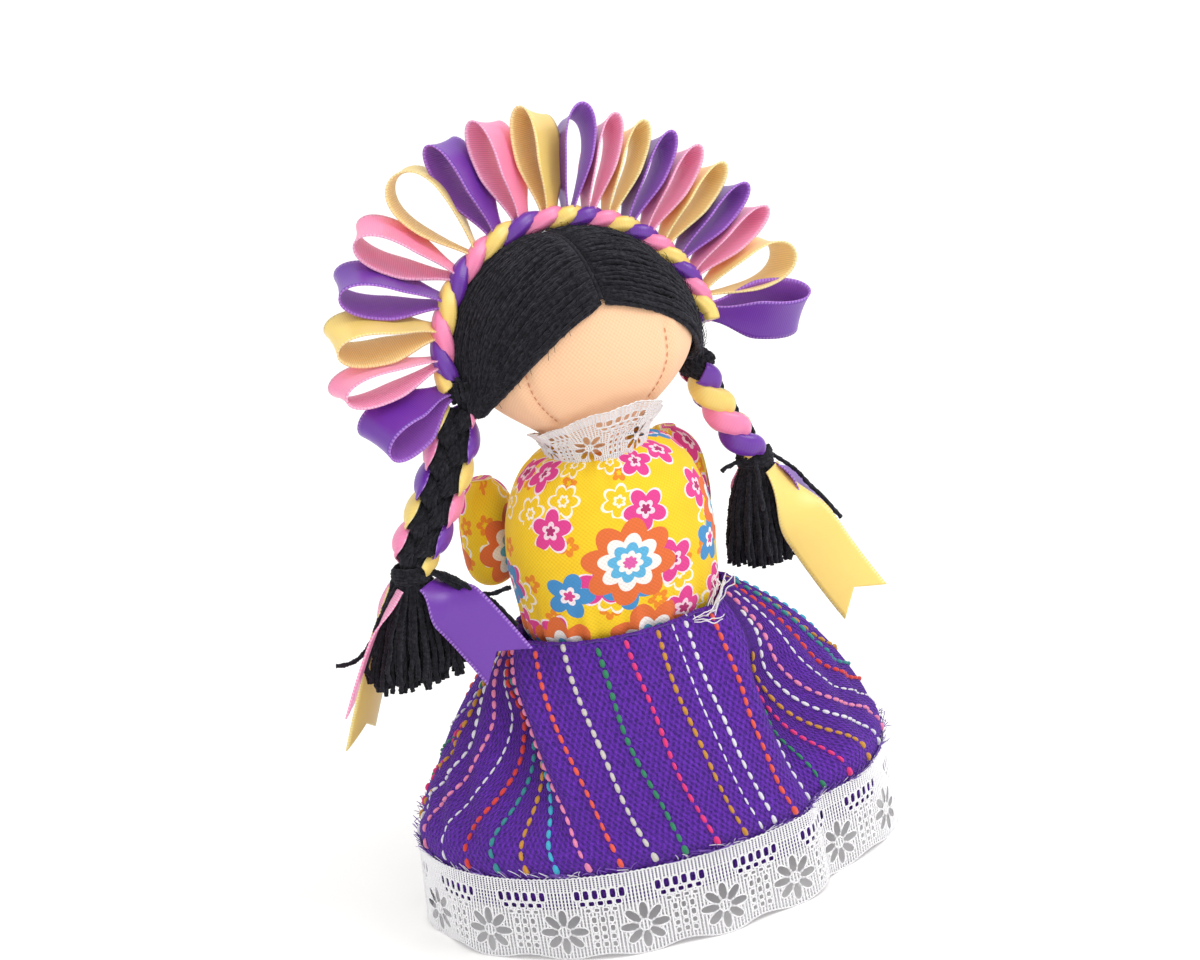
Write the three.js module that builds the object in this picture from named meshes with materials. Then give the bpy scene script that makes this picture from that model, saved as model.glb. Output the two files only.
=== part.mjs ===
// A small faceless cloth doll in the Otomi style: stuffed head and body, gathered skirt with a
// lace hem, yarn hair in two braids and a crown of ribbon loops.
// Millimetres, +Z up, the doll faces -Y, origin on the floor under the middle of the hem.
import * as THREE from 'three';

// Cloth, clearances and ribbon
const CLOTH = 0.8;
const FIT_GAP = 0.35;
const RIBBON_WIDTH = 9.5;
const RIBBON_THICKNESS = 0.6;

// Skirt and its lace hem
const LACE_HEIGHT = 15.5;
const LACE_OVERLAP = 5.5;
const LACE_THICKNESS = 0.8;
const LACE_FLARE = 0.3;
const HEM_ROLL = 1.1;
const SKIRT_BELLY = 2;
const SKIRT_SIDE_PUFF = 2.8;
const SKIRT_RISE = 34.5;
const HEM_HALF_WIDTH = 44.4;
const HEM_HALF_DEPTH = 35;
const FOLD_DEPTH = 3.4;
const FOLD_SPREAD = 9;
const GATHER_HEIGHT = 0.9;
const GATHER_COUNT = 18;
const WAIST_THREAD_RADIUS = 0.5;

// Torso
const TORSO_RISE = 31;
const TORSO_TUCK = 6;
const TORSO_HALF_WIDTH = 19.6;
const TORSO_HALF_DEPTH = 13.6;

// Neck and head
const NECK_RADIUS = 6;
const NECK_BALL_RADIUS = 6.8;
const NECK_DEPTH = 4.5;
const NECK_SHOW = 2;
const HEAD_HALF_WIDTH = 20.3;
const HEAD_HALF_DEPTH = 17.6;
const HEAD_UP = 19.5;
const HEAD_DOWN = 15.6;
const COLLAR_FRONT = 10;
const COLLAR_SIDE = 3.4;
const COLLAR_RUFFLES = 12;
const COLLAR_WAVE = 0.5;
const NOD_CLEARANCE = 2;

// Hair and crown
const HAIR_THICKNESS = 1.7;
const EAR_PUFF = 3.2;
const PARTING_GAP = 1.5;
const PARTING_THREAD_RADIUS = 0.38;
const BAND_RADIUS = 2;
const CROWN_LEAN = 25;
const LOOP_LENGTH = 17.2;
const SHORT_LOOP_LENGTH = 16;
const LOW_LOOP_LENGTH = 14;
const LOOP_NARROW = 5.2;

// Braids, ties, tassels and ribbon tails
const BRAID_RADIUS = 4.4;
const BRAID_TOP_RADIUS = 2.4;
const BRAID_PITCH = 5.4;
const BRAID_BEND = 2.4;
const BRAID_DROP = 25;
const TIE_RADIUS = 4;
const TIE_HEIGHT = 3.6;
const TASSEL_LENGTH = 19;
const TASSEL_HALF_DEPTH = 5.6;
const TAIL_NOTCH = 3.6;

// Arms and legs
const ARM_LENGTH = 20;
const ARM_HALF_THICKNESS = 4.6;
const ARM_HALF_WIDTH = 6.9;
const ARM_TURN = 50;
const SHOULDER_DROP = 5;
const LEG_RADIUS = 4.85;
const LEG_SPREAD = 7.6;
const HIP_GAP = 0.9;
const FOOT_CLEARANCE = 0.5;
const LIMB_MOUTH = 2.2;

// Heights that follow from the sizes above
const WAIST_Z = LACE_HEIGHT + SKIRT_RISE;
const TORSO_BOTTOM = WAIST_Z - TORSO_TUCK;
const NECKLINE_Z = WAIST_Z + TORSO_RISE;
const HEAD_BOTTOM = NECKLINE_Z + NECK_SHOW;
const HEAD_Z = HEAD_BOTTOM + HEAD_DOWN;
const NECK_HOLE = NECK_BALL_RADIUS + FIT_GAP;
const NECK_PIVOT_Z = HEAD_BOTTOM + NECK_BALL_RADIUS / 2;

const COLOURS = {
  purple: 0x5f24a0,
  pink: 0xff5f9e,
  gold: 0xf2bc4b,
  yarn: 0x17171c,
  skin: 0xf0b88c,
  skirt: 0x4a1590,
  bodice: 0xf5cf16,
  lace: 0xf7f7f7,
  fill: 0xece6da,
};

const doll = new THREE.Group();
doll.name = 'otomi_doll';
const radians = THREE.MathUtils.degToRad;
const lerp = THREE.MathUtils.lerp;
const smooth = THREE.MathUtils.smoothstep;
const vector = (x, y, z) => new THREE.Vector3(x, y, z);

/** Adds a named piece in one of the doll's materials. */
function piece(name, geometry, colour, roughness = 0.9) {
  const material = new THREE.MeshStandardMaterial({ color: COLOURS[colour], roughness, metalness: 0 });
  const mesh = new THREE.Mesh(geometry, material);
  mesh.name = name;
  doll.add(mesh);
}

/** Closes a fan of triangles from a ring to its middle. */
function fanCap(points, indices, first, count) {
  const middle = new THREE.Vector3();
  for (let i = 0; i < count; i += 1) {
    middle.addScaledVector(points[first + i], 1 / count);
  }
  points.push(middle);
  for (let i = 0; i < count; i += 1) {
    indices.push(points.length - 1, first + i, first + ((i + 1) % count));
  }
}

/** Closes the end of a strip, whose section runs along its upper side and back along its lower. */
function ladderCap(indices, first, count) {
  for (let i = 0; i < count / 2 - 1; i += 1) {
    const a = first + i;
    const b = first + i + 1;
    const c = first + count - 2 - i;
    const d = first + count - 1 - i;
    indices.push(a, b, c, a, c, d);
  }
}

/** Skins a row of sections into one closed solid. ends: 'fan', 'ladder' or 'wrap'. */
function skin(sections, ends = 'fan') {
  const count = sections[0].length;
  const points = sections.flat().map((point) => point.clone());
  const indices = [];
  const spans = ends === 'wrap' ? sections.length : sections.length - 1;
  for (let row = 0; row < spans; row += 1) {
    const next = (row + 1) % sections.length;
    for (let i = 0; i < count; i += 1) {
      const j = (i + 1) % count;
      indices.push(row * count + i, row * count + j, next * count + j);
      indices.push(row * count + i, next * count + j, next * count + i);
    }
  }
  const last = (sections.length - 1) * count;
  const caps = [];
  const far = [];
  if (ends === 'fan') {
    fanCap(points, caps, 0, count);
    fanCap(points, far, last, count);
  }
  if (ends === 'ladder') {
    ladderCap(caps, 0, count);
    ladderCap(far, last, count);
  }
  indices.push(...caps.reverse(), ...far);
  let volume = 0;
  for (let i = 0; i < indices.length; i += 3) {
    const [a, b, c] = [points[indices[i]], points[indices[i + 1]], points[indices[i + 2]]];
    volume += a.dot(new THREE.Vector3().crossVectors(b, c)) / 6;
  }
  const geometry = new THREE.BufferGeometry().setFromPoints(points);
  geometry.setIndex(volume < 0 ? indices.reverse() : indices);
  geometry.computeVertexNormals();
  return geometry;
}

/** A level oval ring; radius(angle) gives its half width and half depth. */
function levelRing(z, radius, count, middle = new THREE.Vector2()) {
  return Array.from({ length: count }, (_, i) => {
    const angle = (i / count) * 2 * Math.PI;
    const [halfWidth, halfDepth] = radius(angle);
    const x = middle.x + halfWidth * Math.cos(angle);
    return new THREE.Vector3(x, middle.y + halfDepth * Math.sin(angle), z);
  });
}

/** Evenly spaced values from start to end, both included. */
function steps(start, end, count) {
  return Array.from({ length: count }, (_, i) => lerp(start, end, i / (count - 1)));
}

/** A round section of given radii about a point, square to a direction. */
function section(middle, along, side, halfSide, halfOther, count, phase = 0) {
  const u = side.clone().addScaledVector(along, -side.dot(along)).normalize();
  const v = new THREE.Vector3().crossVectors(along, u);
  return Array.from({ length: count }, (_, i) => {
    const angle = phase + (i / count) * 2 * Math.PI;
    return middle.clone()
      .addScaledVector(u, halfSide * Math.cos(angle))
      .addScaledVector(v, halfOther * Math.sin(angle));
  });
}

// Torso: a thimble shape that narrows to the neckline and tucks in under the waistband.

const BELLY_Z = lerp(WAIST_Z, NECKLINE_Z, 0.36);

/** Share of the torso's full width at a height, from 1 at the belly to 0 at the neckline. */
function shoulderShare(z) {
  const rise = Math.max(0, (z - BELLY_Z) / (NECKLINE_Z - BELLY_Z));
  return Math.sqrt(Math.max(0, 1 - rise ** 2.3));
}

/** Half width and half depth of the torso at a height. */
function torsoHalf(z, inset = 0) {
  const drop = Math.max(0, (BELLY_Z - z) / (BELLY_Z - TORSO_BOTTOM));
  const tuck = 1 - 0.09 * drop - 0.25 * Math.max(0, (drop - 0.6) / 0.4) ** 2;
  const neck = NECK_HOLE + CLOTH;
  const share = shoulderShare(z);
  return [TORSO_HALF_WIDTH, TORSO_HALF_DEPTH].map((full) => lerp(neck, full, share) * tuck - inset);
}

/** Heights for the torso's rings, closer together toward the shoulders. */
function torsoHeights(bottom, top, count) {
  return steps(0, 1, count).map((t) => lerp(bottom, top, 1 - (1 - t) ** 1.6));
}

function torsoRings(bottom, top, inset, count) {
  const half = (z) => torsoHalf(z, inset);
  return torsoHeights(bottom, top, count).map((z) => levelRing(z, () => half(z), 28));
}

function makeTorso() {
  const outer = torsoRings(TORSO_BOTTOM, NECKLINE_Z, 0, 9);
  const inner = torsoRings(TORSO_BOTTOM + CLOTH, NECKLINE_Z, CLOTH, 9);
  piece('torso_cover', skin([...outer, ...inner.reverse()]), 'bodice');

  const inset = CLOTH + FIT_GAP;
  const socket = NECK_RADIUS + FIT_GAP;
  const brim = NECKLINE_Z - inset;
  const floor = NECKLINE_Z - NECK_DEPTH - FIT_GAP;
  const fill = torsoRings(TORSO_BOTTOM + inset, brim, inset, 8);
  const well = [brim, floor].map((z) => levelRing(z, () => [socket, socket], 28));
  piece('torso_stuffing', skin([...fill, ...well]), 'fill');
}

// Skirt: a gathered tube of cloth with main folds, and a lace hem that the doll stands on.

const FOLD_AZIMUTHS = [-140, -40, 20, 62, 118, 160];
const PUFF_AZIMUTH = -34;
const SKIRT_BOTTOM = LACE_HEIGHT - LACE_OVERLAP;

/** How far the folds pull the cloth in at an azimuth, from 0 to 1. */
function foldShare(angle) {
  const pull = FOLD_AZIMUTHS.map((azimuth) => {
    const turn = THREE.MathUtils.euclideanModulo(THREE.MathUtils.radToDeg(angle) - azimuth + 180, 360) - 180;
    return Math.exp(-0.5 * (turn / FOLD_SPREAD) ** 2);
  });
  return Math.max(...pull);
}

/** Outer half width and half depth of the skirt at a height and azimuth. */
function skirtHalf(z, angle, grow = 0) {
  const rise = THREE.MathUtils.clamp((z - LACE_HEIGHT) / SKIRT_RISE, 0, 1);
  const waist = torsoHalf(WAIST_Z).map((half) => half + FIT_GAP + CLOTH);
  const share = rise ** 1.18;
  const fold = FOLD_DEPTH * Math.sin(Math.PI * lerp(0.22, 1, rise)) * foldShare(angle);
  const gather = GATHER_HEIGHT * smooth(rise, 0.35, 0.9) * (1 + Math.cos(GATHER_COUNT * angle)) * 0.5;
  const puff = SKIRT_SIDE_PUFF * Math.max(0, Math.cos(angle - radians(PUFF_AZIMUTH))) ** 4;
  const belly = SKIRT_BELLY * Math.sin(Math.PI * rise) + puff * Math.sin(Math.PI * rise ** 2);
  const roll = z > LACE_HEIGHT ? HEM_ROLL * Math.sin(Math.PI * Math.min(1, rise * 6)) : 0;
  return [HEM_HALF_WIDTH, HEM_HALF_DEPTH].map((hem, i) => (
    lerp(hem, waist[i], share) + belly + roll + gather - fold + grow
  ));
}

function skirtRings(grow) {
  const rolled = LACE_HEIGHT + SKIRT_RISE / 12;
  const levels = [SKIRT_BOTTOM, LACE_HEIGHT, rolled, ...steps(LACE_HEIGHT + SKIRT_RISE / 6, WAIST_Z, 5)];
  return levels.map((z) => levelRing(z, (angle) => skirtHalf(z, angle, grow), 72));
}

function makeSkirt() {
  const outer = skirtRings(0);
  const inner = skirtRings(-CLOTH);
  piece('skirt', skin([...outer, ...inner.reverse()], 'wrap'), 'skirt');

  const flare = (z) => LACE_FLARE * (1 - z / LACE_HEIGHT);
  const laceRing = (z, grow) => levelRing(z, (angle) => skirtHalf(LACE_HEIGHT, angle, grow + flare(z)), 72);
  const levels = [0, SKIRT_BOTTOM, LACE_HEIGHT];
  const face = levels.map((z) => laceRing(z, FIT_GAP + LACE_THICKNESS));
  const back = levels.map((z) => laceRing(z, FIT_GAP));
  piece('hem_lace', skin([...face, ...back.reverse()], 'wrap'), 'lace');

  const threadZ = WAIST_Z - WAIST_THREAD_RADIUS;
  const grow = FIT_GAP + WAIST_THREAD_RADIUS;
  const route = levelRing(threadZ, (angle) => skirtHalf(threadZ, angle, grow), 36);
  const thread = route.map((point, i) => {
    const along = route[(i + 1) % 36].clone().sub(route[(i + 35) % 36]).normalize();
    return section(point, along, new THREE.Vector3(0, 0, 1), WAIST_THREAD_RADIUS, WAIST_THREAD_RADIUS, 6);
  });
  piece('waist_thread', skin(thread, 'wrap'), 'lace');
}

// Head: a stuffed ball that narrows to the neck, on a rounded neck stub.

const NECK_SHARE = (NECK_HOLE + CLOTH) / HEAD_HALF_WIDTH;

/** Point on the head for a direction on the unit ball, moved outward by lift. */
function headPoint(direction, lift = 0) {
  const level = Math.hypot(direction.x, direction.y) || 1;
  const drop = Math.max(0, -direction.z);
  const jaw = NECK_SHARE + (1 - NECK_SHARE) * Math.max(0, 1 - drop * drop) ** 1.5;
  const share = direction.z >= 0 ? level : jaw;
  const height = direction.z >= 0 ? HEAD_UP : HEAD_DOWN;
  const spread = share / level;
  return new THREE.Vector3(
    (HEAD_HALF_WIDTH + lift) * direction.x * spread,
    (HEAD_HALF_DEPTH + lift) * direction.y * spread,
    HEAD_Z + (height + lift) * direction.z,
  );
}

function headRing(pitch, lift, count) {
  return Array.from({ length: count }, (_, i) => {
    const angle = (i / count) * 2 * Math.PI;
    const level = Math.cos(pitch);
    const direction = new THREE.Vector3(level * Math.cos(angle), level * Math.sin(angle), Math.sin(pitch));
    return headPoint(direction, lift);
  });
}

function makeHead() {
  const low = radians(-84);
  const high = radians(82);
  const outer = steps(high, low, 10).map((pitch) => headRing(pitch, 0, 28));
  const inner = steps(low, high, 10).map((pitch) => headRing(pitch, -CLOTH, 28));
  piece('head_cover', skin([...outer, ...inner]), 'skin');

  const lift = -(CLOTH + FIT_GAP);
  const fill = steps(high, radians(-62), 9).map((pitch) => headRing(pitch, lift, 24));
  const pocket = NECK_BALL_RADIUS + FIT_GAP;
  const pocketRing = (pitch) => levelRing(
    NECK_PIVOT_Z + pocket * Math.sin(pitch),
    () => [pocket * Math.cos(pitch), pocket * Math.cos(pitch)],
    24,
  );
  const hollow = steps(radians(-12), high, 6).map(pocketRing);
  piece('head_stuffing', skin([...fill, ...hollow]), 'fill');

  const ballRing = (pitch) => levelRing(
    NECK_PIVOT_Z + NECK_BALL_RADIUS * Math.sin(pitch),
    () => [NECK_BALL_RADIUS * Math.cos(pitch), NECK_BALL_RADIUS * Math.cos(pitch)],
    24,
  );
  const meet = -Math.acos(NECK_RADIUS / NECK_BALL_RADIUS);
  const stem = levelRing(NECKLINE_Z - NECK_DEPTH, () => [NECK_RADIUS, NECK_RADIUS], 24);
  piece('neck_stub', skin([stem, ...steps(meet, high, 6).map(ballRing)]), 'skin');
}

/** The lace collar: a ruffle on the neckline that cups the foot of the head, higher under the chin. */
function makeCollar() {
  const count = 48;
  const foot = NECKLINE_Z + FIT_GAP;
  const rim = (share, lift) => Array.from({ length: count }, (_, i) => {
    const angle = (i / count) * 2 * Math.PI;
    const front = Math.max(0, -Math.sin(angle));
    const top = HEAD_BOTTOM + lerp(COLLAR_SIDE, COLLAR_FRONT, front ** 3);
    const z = lerp(foot, top, share);
    const drop = Math.min(1, (HEAD_Z - z) / HEAD_DOWN);
    const jaw = NECK_SHARE + (1 - NECK_SHARE) * Math.max(0, 1 - drop * drop) ** 1.5;
    const ruffle = COLLAR_WAVE * (1 + Math.cos(COLLAR_RUFFLES * angle)) * share;
    const nod = NOD_CLEARANCE * Math.abs(Math.sin(angle)) * smooth(share, 0, 0.5);
    const grow = FIT_GAP * 2 + lift + ruffle + nod;
    return new THREE.Vector3(
      (HEAD_HALF_WIDTH * jaw + grow) * Math.cos(angle),
      (lerp(HEAD_HALF_WIDTH, HEAD_HALF_DEPTH, share) * jaw + grow) * Math.sin(angle),
      z,
    );
  });
  const levels = [0, 0.5, 1];
  const face = levels.map((share) => rim(share, LACE_THICKNESS));
  const back = levels.map((share) => rim(share, 0));
  piece('collar_lace', skin([...face, ...back.reverse()], 'wrap'), 'lace');
}

// Hair: yarn laid from a middle parting to each ear, from the forehead to the nape.

const PARTING_FRONT = 56;
const PARTING_BACK = -112;

/**
 * Each side of the head: the doll's right has sign -1. dip and set are how low and how far back the
 * braid starts, and hang runs from there to its tie, in braid drops.
 */
const SIDES = {
  right: { sign: -1, dip: 0.3, set: 0, hang: vector(-0.5548, -0.008, -1.0344), spread: 10, sway: -2 },
  left: { sign: 1, dip: 0.4, set: 0.32, hang: vector(0.3852, 0.0144, -0.9572), spread: 7.6, sway: 0.4 },
};

function partingPoint(pitch) {
  const angle = radians(pitch);
  return new THREE.Vector3(0, -Math.sin(angle), Math.cos(angle));
}

function earDirection(side, share) {
  return new THREE.Vector3(side.sign * 0.97, side.set + lerp(-0.3, 0.16, share), -side.dip).normalize();
}

/** Point on the great circle between two directions. */
function between(a, b, share) {
  const angle = a.angleTo(b);
  return a.clone().multiplyScalar(Math.sin((1 - share) * angle) / Math.sin(angle))
    .addScaledVector(b, Math.sin(share * angle) / Math.sin(angle));
}

function makeHair(name, side) {
  const lock = (share) => {
    const start = partingPoint(lerp(PARTING_FRONT, PARTING_BACK, share));
    const offset = (side.sign * PARTING_GAP) / 2 / HEAD_HALF_WIDTH;
    start.add(new THREE.Vector3(offset, 0, 0)).normalize();
    const end = earDirection(side, share);
    const run = steps(0, 1, 11);
    const puff = (t) => lerp(HAIR_THICKNESS, EAR_PUFF, smooth(t, 0.87, 1)) * lerp(0.7, 1, smooth(t, 0, 0.2));
    const top = run.map((t) => headPoint(between(start, end, t), FIT_GAP + puff(t)));
    const under = run.map((t) => headPoint(between(start, end, t), FIT_GAP));
    return [...top, ...under.reverse()];
  };
  piece(`hair_${name}`, skin(steps(0, 1, 13).map(lock), 'ladder'), 'yarn', 1);
}

function makePartingThread() {
  const lift = FIT_GAP + PARTING_THREAD_RADIUS;
  const route = steps(PARTING_FRONT - 4, PARTING_BACK + 4, 18).map((pitch) => headPoint(partingPoint(pitch), lift));
  const side = new THREE.Vector3(1, 0, 0);
  const rings = route.map((point, i) => {
    const ahead = route[Math.min(i + 1, route.length - 1)];
    const along = ahead.clone().sub(route[Math.max(i - 1, 0)]).normalize();
    return section(point, along, side, PARTING_THREAD_RADIUS, PARTING_THREAD_RADIUS, 6);
  });
  piece('parting_thread', skin(rings), 'yarn', 1);
}

// Crown: a ribbon-wrapped band over the head from ear to ear, carrying a fan of ribbon loops.

const CROWN_UP = new THREE.Vector3(0, Math.sin(radians(CROWN_LEAN)), Math.cos(radians(CROWN_LEAN)));
const CROWN_SIDE = new THREE.Vector3(1, 0, 0);
const CROWN_BACK = new THREE.Vector3().crossVectors(CROWN_UP, CROWN_SIDE);
const CROWN_MIDDLE = new THREE.Vector3(0, 0, HEAD_Z);
const BAND_START = -3;
const BAND_END = 183;

/** Direction of the crown's spoke at an angle from the doll's left, in degrees. */
function spoke(angle) {
  return CROWN_SIDE.clone().multiplyScalar(Math.cos(radians(angle)))
    .addScaledVector(CROWN_UP, Math.sin(radians(angle)));
}

/** Distance from the head's middle to the band's middle along a spoke. */
function bandReach(angle) {
  const direction = spoke(angle);
  const lift = FIT_GAP * 2 + HAIR_THICKNESS + BAND_RADIUS;
  const height = direction.z >= 0 ? HEAD_UP : HEAD_DOWN;
  const x = direction.x / (HEAD_HALF_WIDTH + lift);
  const y = direction.y / (HEAD_HALF_DEPTH + lift);
  const z = direction.z / (height + lift);
  return 1 / Math.hypot(x, y, z);
}

function makeBand() {
  const rings = steps(BAND_START, BAND_END, 40).map((angle) => {
    const middle = spoke(angle).multiplyScalar(bandReach(angle)).add(CROWN_MIDDLE);
    const along = spoke(angle + 90);
    const wrap = lerp(0.84, 1, Math.abs(Math.sin(radians(angle * 13.8))));
    return section(middle, along, CROWN_BACK, BAND_RADIUS * wrap, BAND_RADIUS * wrap, 8);
  });
  piece('crown_band', skin(rings), 'gold', 0.5);
}

// Loops run from the doll's right ear to its left: widely set first, then close together. Each kind has its
// number of loops, its turn about the spoke, its lean from it, how much both change from loop to loop, and its
// opening as a share of the head's half width.
const FIRST_LOOP = 183;
const WIDE_STEP = 12.3;
const WIDE_LOOPS = 9;
const CLOSE_STEP = 8.4;
const LOOP_ROUNDNESS = 3.1;
const LOOP_COLOURS = ['purple', 'pink', 'gold'];
const LOOP_KINDS = [
  { count: 1, twist: -40, twistBy: 0, lean: 17, leanBy: 0, opening: 0.246, length: LOW_LOOP_LENGTH },
  { count: 1, twist: -20, twistBy: 0, lean: 13, leanBy: 0, opening: 0.217, length: LOOP_LENGTH },
  { count: 3, twist: -36, twistBy: 0, lean: 13, leanBy: -2, opening: 0.296, length: LOOP_LENGTH },
  { count: 1, twist: -24, twistBy: 0, lean: -2, leanBy: 0, opening: 0.305, length: LOOP_LENGTH },
  { count: 3, twist: -46, twistBy: 3, lean: -4, leanBy: 0.5, opening: 0.236, length: LOOP_LENGTH },
  { count: 1, twist: -9, twistBy: 0, lean: -9.5, leanBy: 0, opening: 0.158, length: LOOP_LENGTH },
  { count: 7, twist: -2, twistBy: 3, lean: -8, leanBy: 3.3, opening: 0.167, length: SHORT_LOOP_LENGTH },
  { count: 1, twist: 0, twistBy: 0, lean: 3, leanBy: 0, opening: 0.236, length: SHORT_LOOP_LENGTH },
  { count: 1, twist: -26, twistBy: 0, lean: -13, leanBy: 0, opening: 0.197, length: SHORT_LOOP_LENGTH },
];
const LOOPS = LOOP_KINDS.flatMap((kind) => Array.from({ length: kind.count }, (_, i) => (
  { ...kind, twist: kind.twist + i * kind.twistBy, lean: kind.lean + i * kind.leanBy }
)));

function loopAngle(index) {
  const wide = Math.min(index, WIDE_LOOPS - 1);
  return FIRST_LOOP - wide * WIDE_STEP - (index - wide) * CLOSE_STEP;
}

/** One ribbon loop: a teardrop of ribbon that leaves the band and comes back to it. */
function makeLoop(index) {
  const angle = loopAngle(index);
  const kind = LOOPS[index];
  const out = spoke(angle + kind.lean);
  const across = CROWN_BACK.clone().multiplyScalar(Math.cos(radians(kind.twist)))
    .addScaledVector(spoke(angle + kind.lean + 90), Math.sin(radians(kind.twist)));
  const side = new THREE.Vector3().crossVectors(out, across);
  const base = spoke(angle).multiplyScalar(bandReach(angle) + BAND_RADIUS + FIT_GAP).add(CROWN_MIDDLE);
  const foot = RIBBON_THICKNESS / 2 + FIT_GAP;
  const halfOpening = (kind.opening * HEAD_HALF_WIDTH) / 2;
  const route = steps(-1, 1, 15).map((turn) => {
    const reach = (kind.length - RIBBON_THICKNESS) * (1 - Math.abs(turn) ** LOOP_ROUNDNESS);
    const swing = halfOpening * Math.sin(Math.PI * turn) + foot * Math.sign(turn) * turn * turn;
    return base.clone().addScaledVector(out, reach).addScaledVector(side, swing);
  });
  const sections = route.map((point, i) => {
    const turn = Math.abs((2 * i) / (route.length - 1) - 1);
    const along = route[Math.min(i + 1, route.length - 1)].clone().sub(route[Math.max(i - 1, 0)]).normalize();
    const face = new THREE.Vector3().crossVectors(along, across).normalize();
    const half = lerp(RIBBON_WIDTH, LOOP_NARROW, smooth(turn, 0.55, 1)) / 2;
    return [[1, -1], [1, 1], [-1, 1], [-1, -1]].map(([up, wide]) => point.clone()
      .addScaledVector(face, (up * RIBBON_THICKNESS) / 2)
      .addScaledVector(across, wide * half));
  });
  const number = String(index + 1).padStart(2, '0');
  piece(`crown_loop_${number}`, skin(sections, 'ladder'), LOOP_COLOURS[index % 3], 0.45);
}

// Braids: each hangs from an ear to a yarn tie, with a tassel and three ribbon tails below.

const TASSEL_SHOULDER = 0.08;
const BEND_SHARE = 0.55;
const BRAID_SLIM = 0.82;

/** Where a braid leaves the hair: its leaning top end clears the hair by the fit gap. */
function braidRoot(side) {
  const ear = headPoint(earDirection(side, 0.5), FIT_GAP + EAR_PUFF);
  const bend = new THREE.Vector3(-side.sign * BRAID_BEND, 0, 0);
  const lean = side.hang.clone().multiplyScalar(BRAID_DROP * BEND_SHARE).add(bend).normalize();
  const half = BRAID_TOP_RADIUS * BRAID_SLIM;
  ear.x += side.sign * (half * Math.abs(lean.z) + FIT_GAP);
  ear.z += half * Math.abs(lean.x);
  return ear;
}

/** Middle of the yarn tie at a braid's end. */
function tieMiddle(side) {
  return braidRoot(side).addScaledVector(side.hang, BRAID_DROP);
}

/** Middle of the tassel's top, on which the tassel swings. */
function tasselTop(side) {
  return tieMiddle(side).add(new THREE.Vector3(0, 0, -TIE_HEIGHT / 2 - FIT_GAP));
}

/** Half width and half depth of a tassel at a share of its length. */
function tasselHalf(side, share) {
  const fan = Math.sin((share * Math.PI) / 2) ** 0.8;
  const neck = TIE_RADIUS * lerp(0.3, 0.8, smooth(share, 0, 0.1));
  return [lerp(neck, side.spread, fan), lerp(neck * 0.9, TASSEL_HALF_DEPTH, fan)];
}

function makeBraid(name, side) {
  const root = braidRoot(side);
  const tie = tieMiddle(side);
  const end = tie.clone().add(new THREE.Vector3(0, 0, TIE_HEIGHT / 2 + FIT_GAP));
  const bend = root.clone().lerp(end, BEND_SHARE).add(new THREE.Vector3(-side.sign * BRAID_BEND, 0, 0));
  const curve = new THREE.QuadraticBezierCurve3(root, bend, end);
  const plaits = curve.getLength() / BRAID_PITCH;
  const rings = steps(0, 1, Math.round(plaits) * 4 + 1).map((t) => {
    const swell = smooth(t, 0, 0.34) * (1 - 0.3 * smooth(t, 0.85, 1));
    const radius = lerp(BRAID_TOP_RADIUS, BRAID_RADIUS, swell);
    const plait = Math.cos(Math.PI * plaits * t);
    const shift = new THREE.Vector3(plait * radius * 0.12 * smooth(t, 0.05, 0.2), 0, 0);
    const along = curve.getTangent(t);
    const wide = radius * (BRAID_SLIM + 0.06 * (1 - Math.cos(2 * Math.PI * plaits * t)));
    const level = lerp(0, 1, smooth(t, 0.9, 1));
    along.lerp(new THREE.Vector3(0, 0, -1), level).normalize();
    return section(curve.getPoint(t).add(shift), along, new THREE.Vector3(1, 0, 0), wide, radius * 0.72, 12);
  });
  piece(`${name}_braid`, skin(rings), 'yarn', 1);

  const bead = [];
  const turns = 4;
  steps(0, 1, turns * 2 + 1).forEach((t, i) => {
    const radius = TIE_RADIUS * (i % 2 ? 1 : 0.88);
    bead.push(levelRing(tie.z + lerp(-0.5, 0.5, t) * TIE_HEIGHT, () => [radius, radius * 0.85], 12, tie));
  });
  piece(`${name}_braid_tie`, skin(bead), 'yarn', 1);
}

function makeTassel(name, side) {
  const top = tasselTop(side);
  const rings = [0, ...steps(TASSEL_SHOULDER, 1, 6)].map((t) => {
    const middle = new THREE.Vector2(top.x + side.sway * t, top.y);
    const rib = (angle) => 1 + 0.06 * t * Math.cos(12 * angle);
    const half = (angle) => tasselHalf(side, t).map((size) => size * rib(angle));
    return levelRing(top.z - t * TASSEL_LENGTH, half, 24, middle);
  });
  piece(`${name}_tassel`, skin(rings), 'yarn', 1);
}

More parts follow.
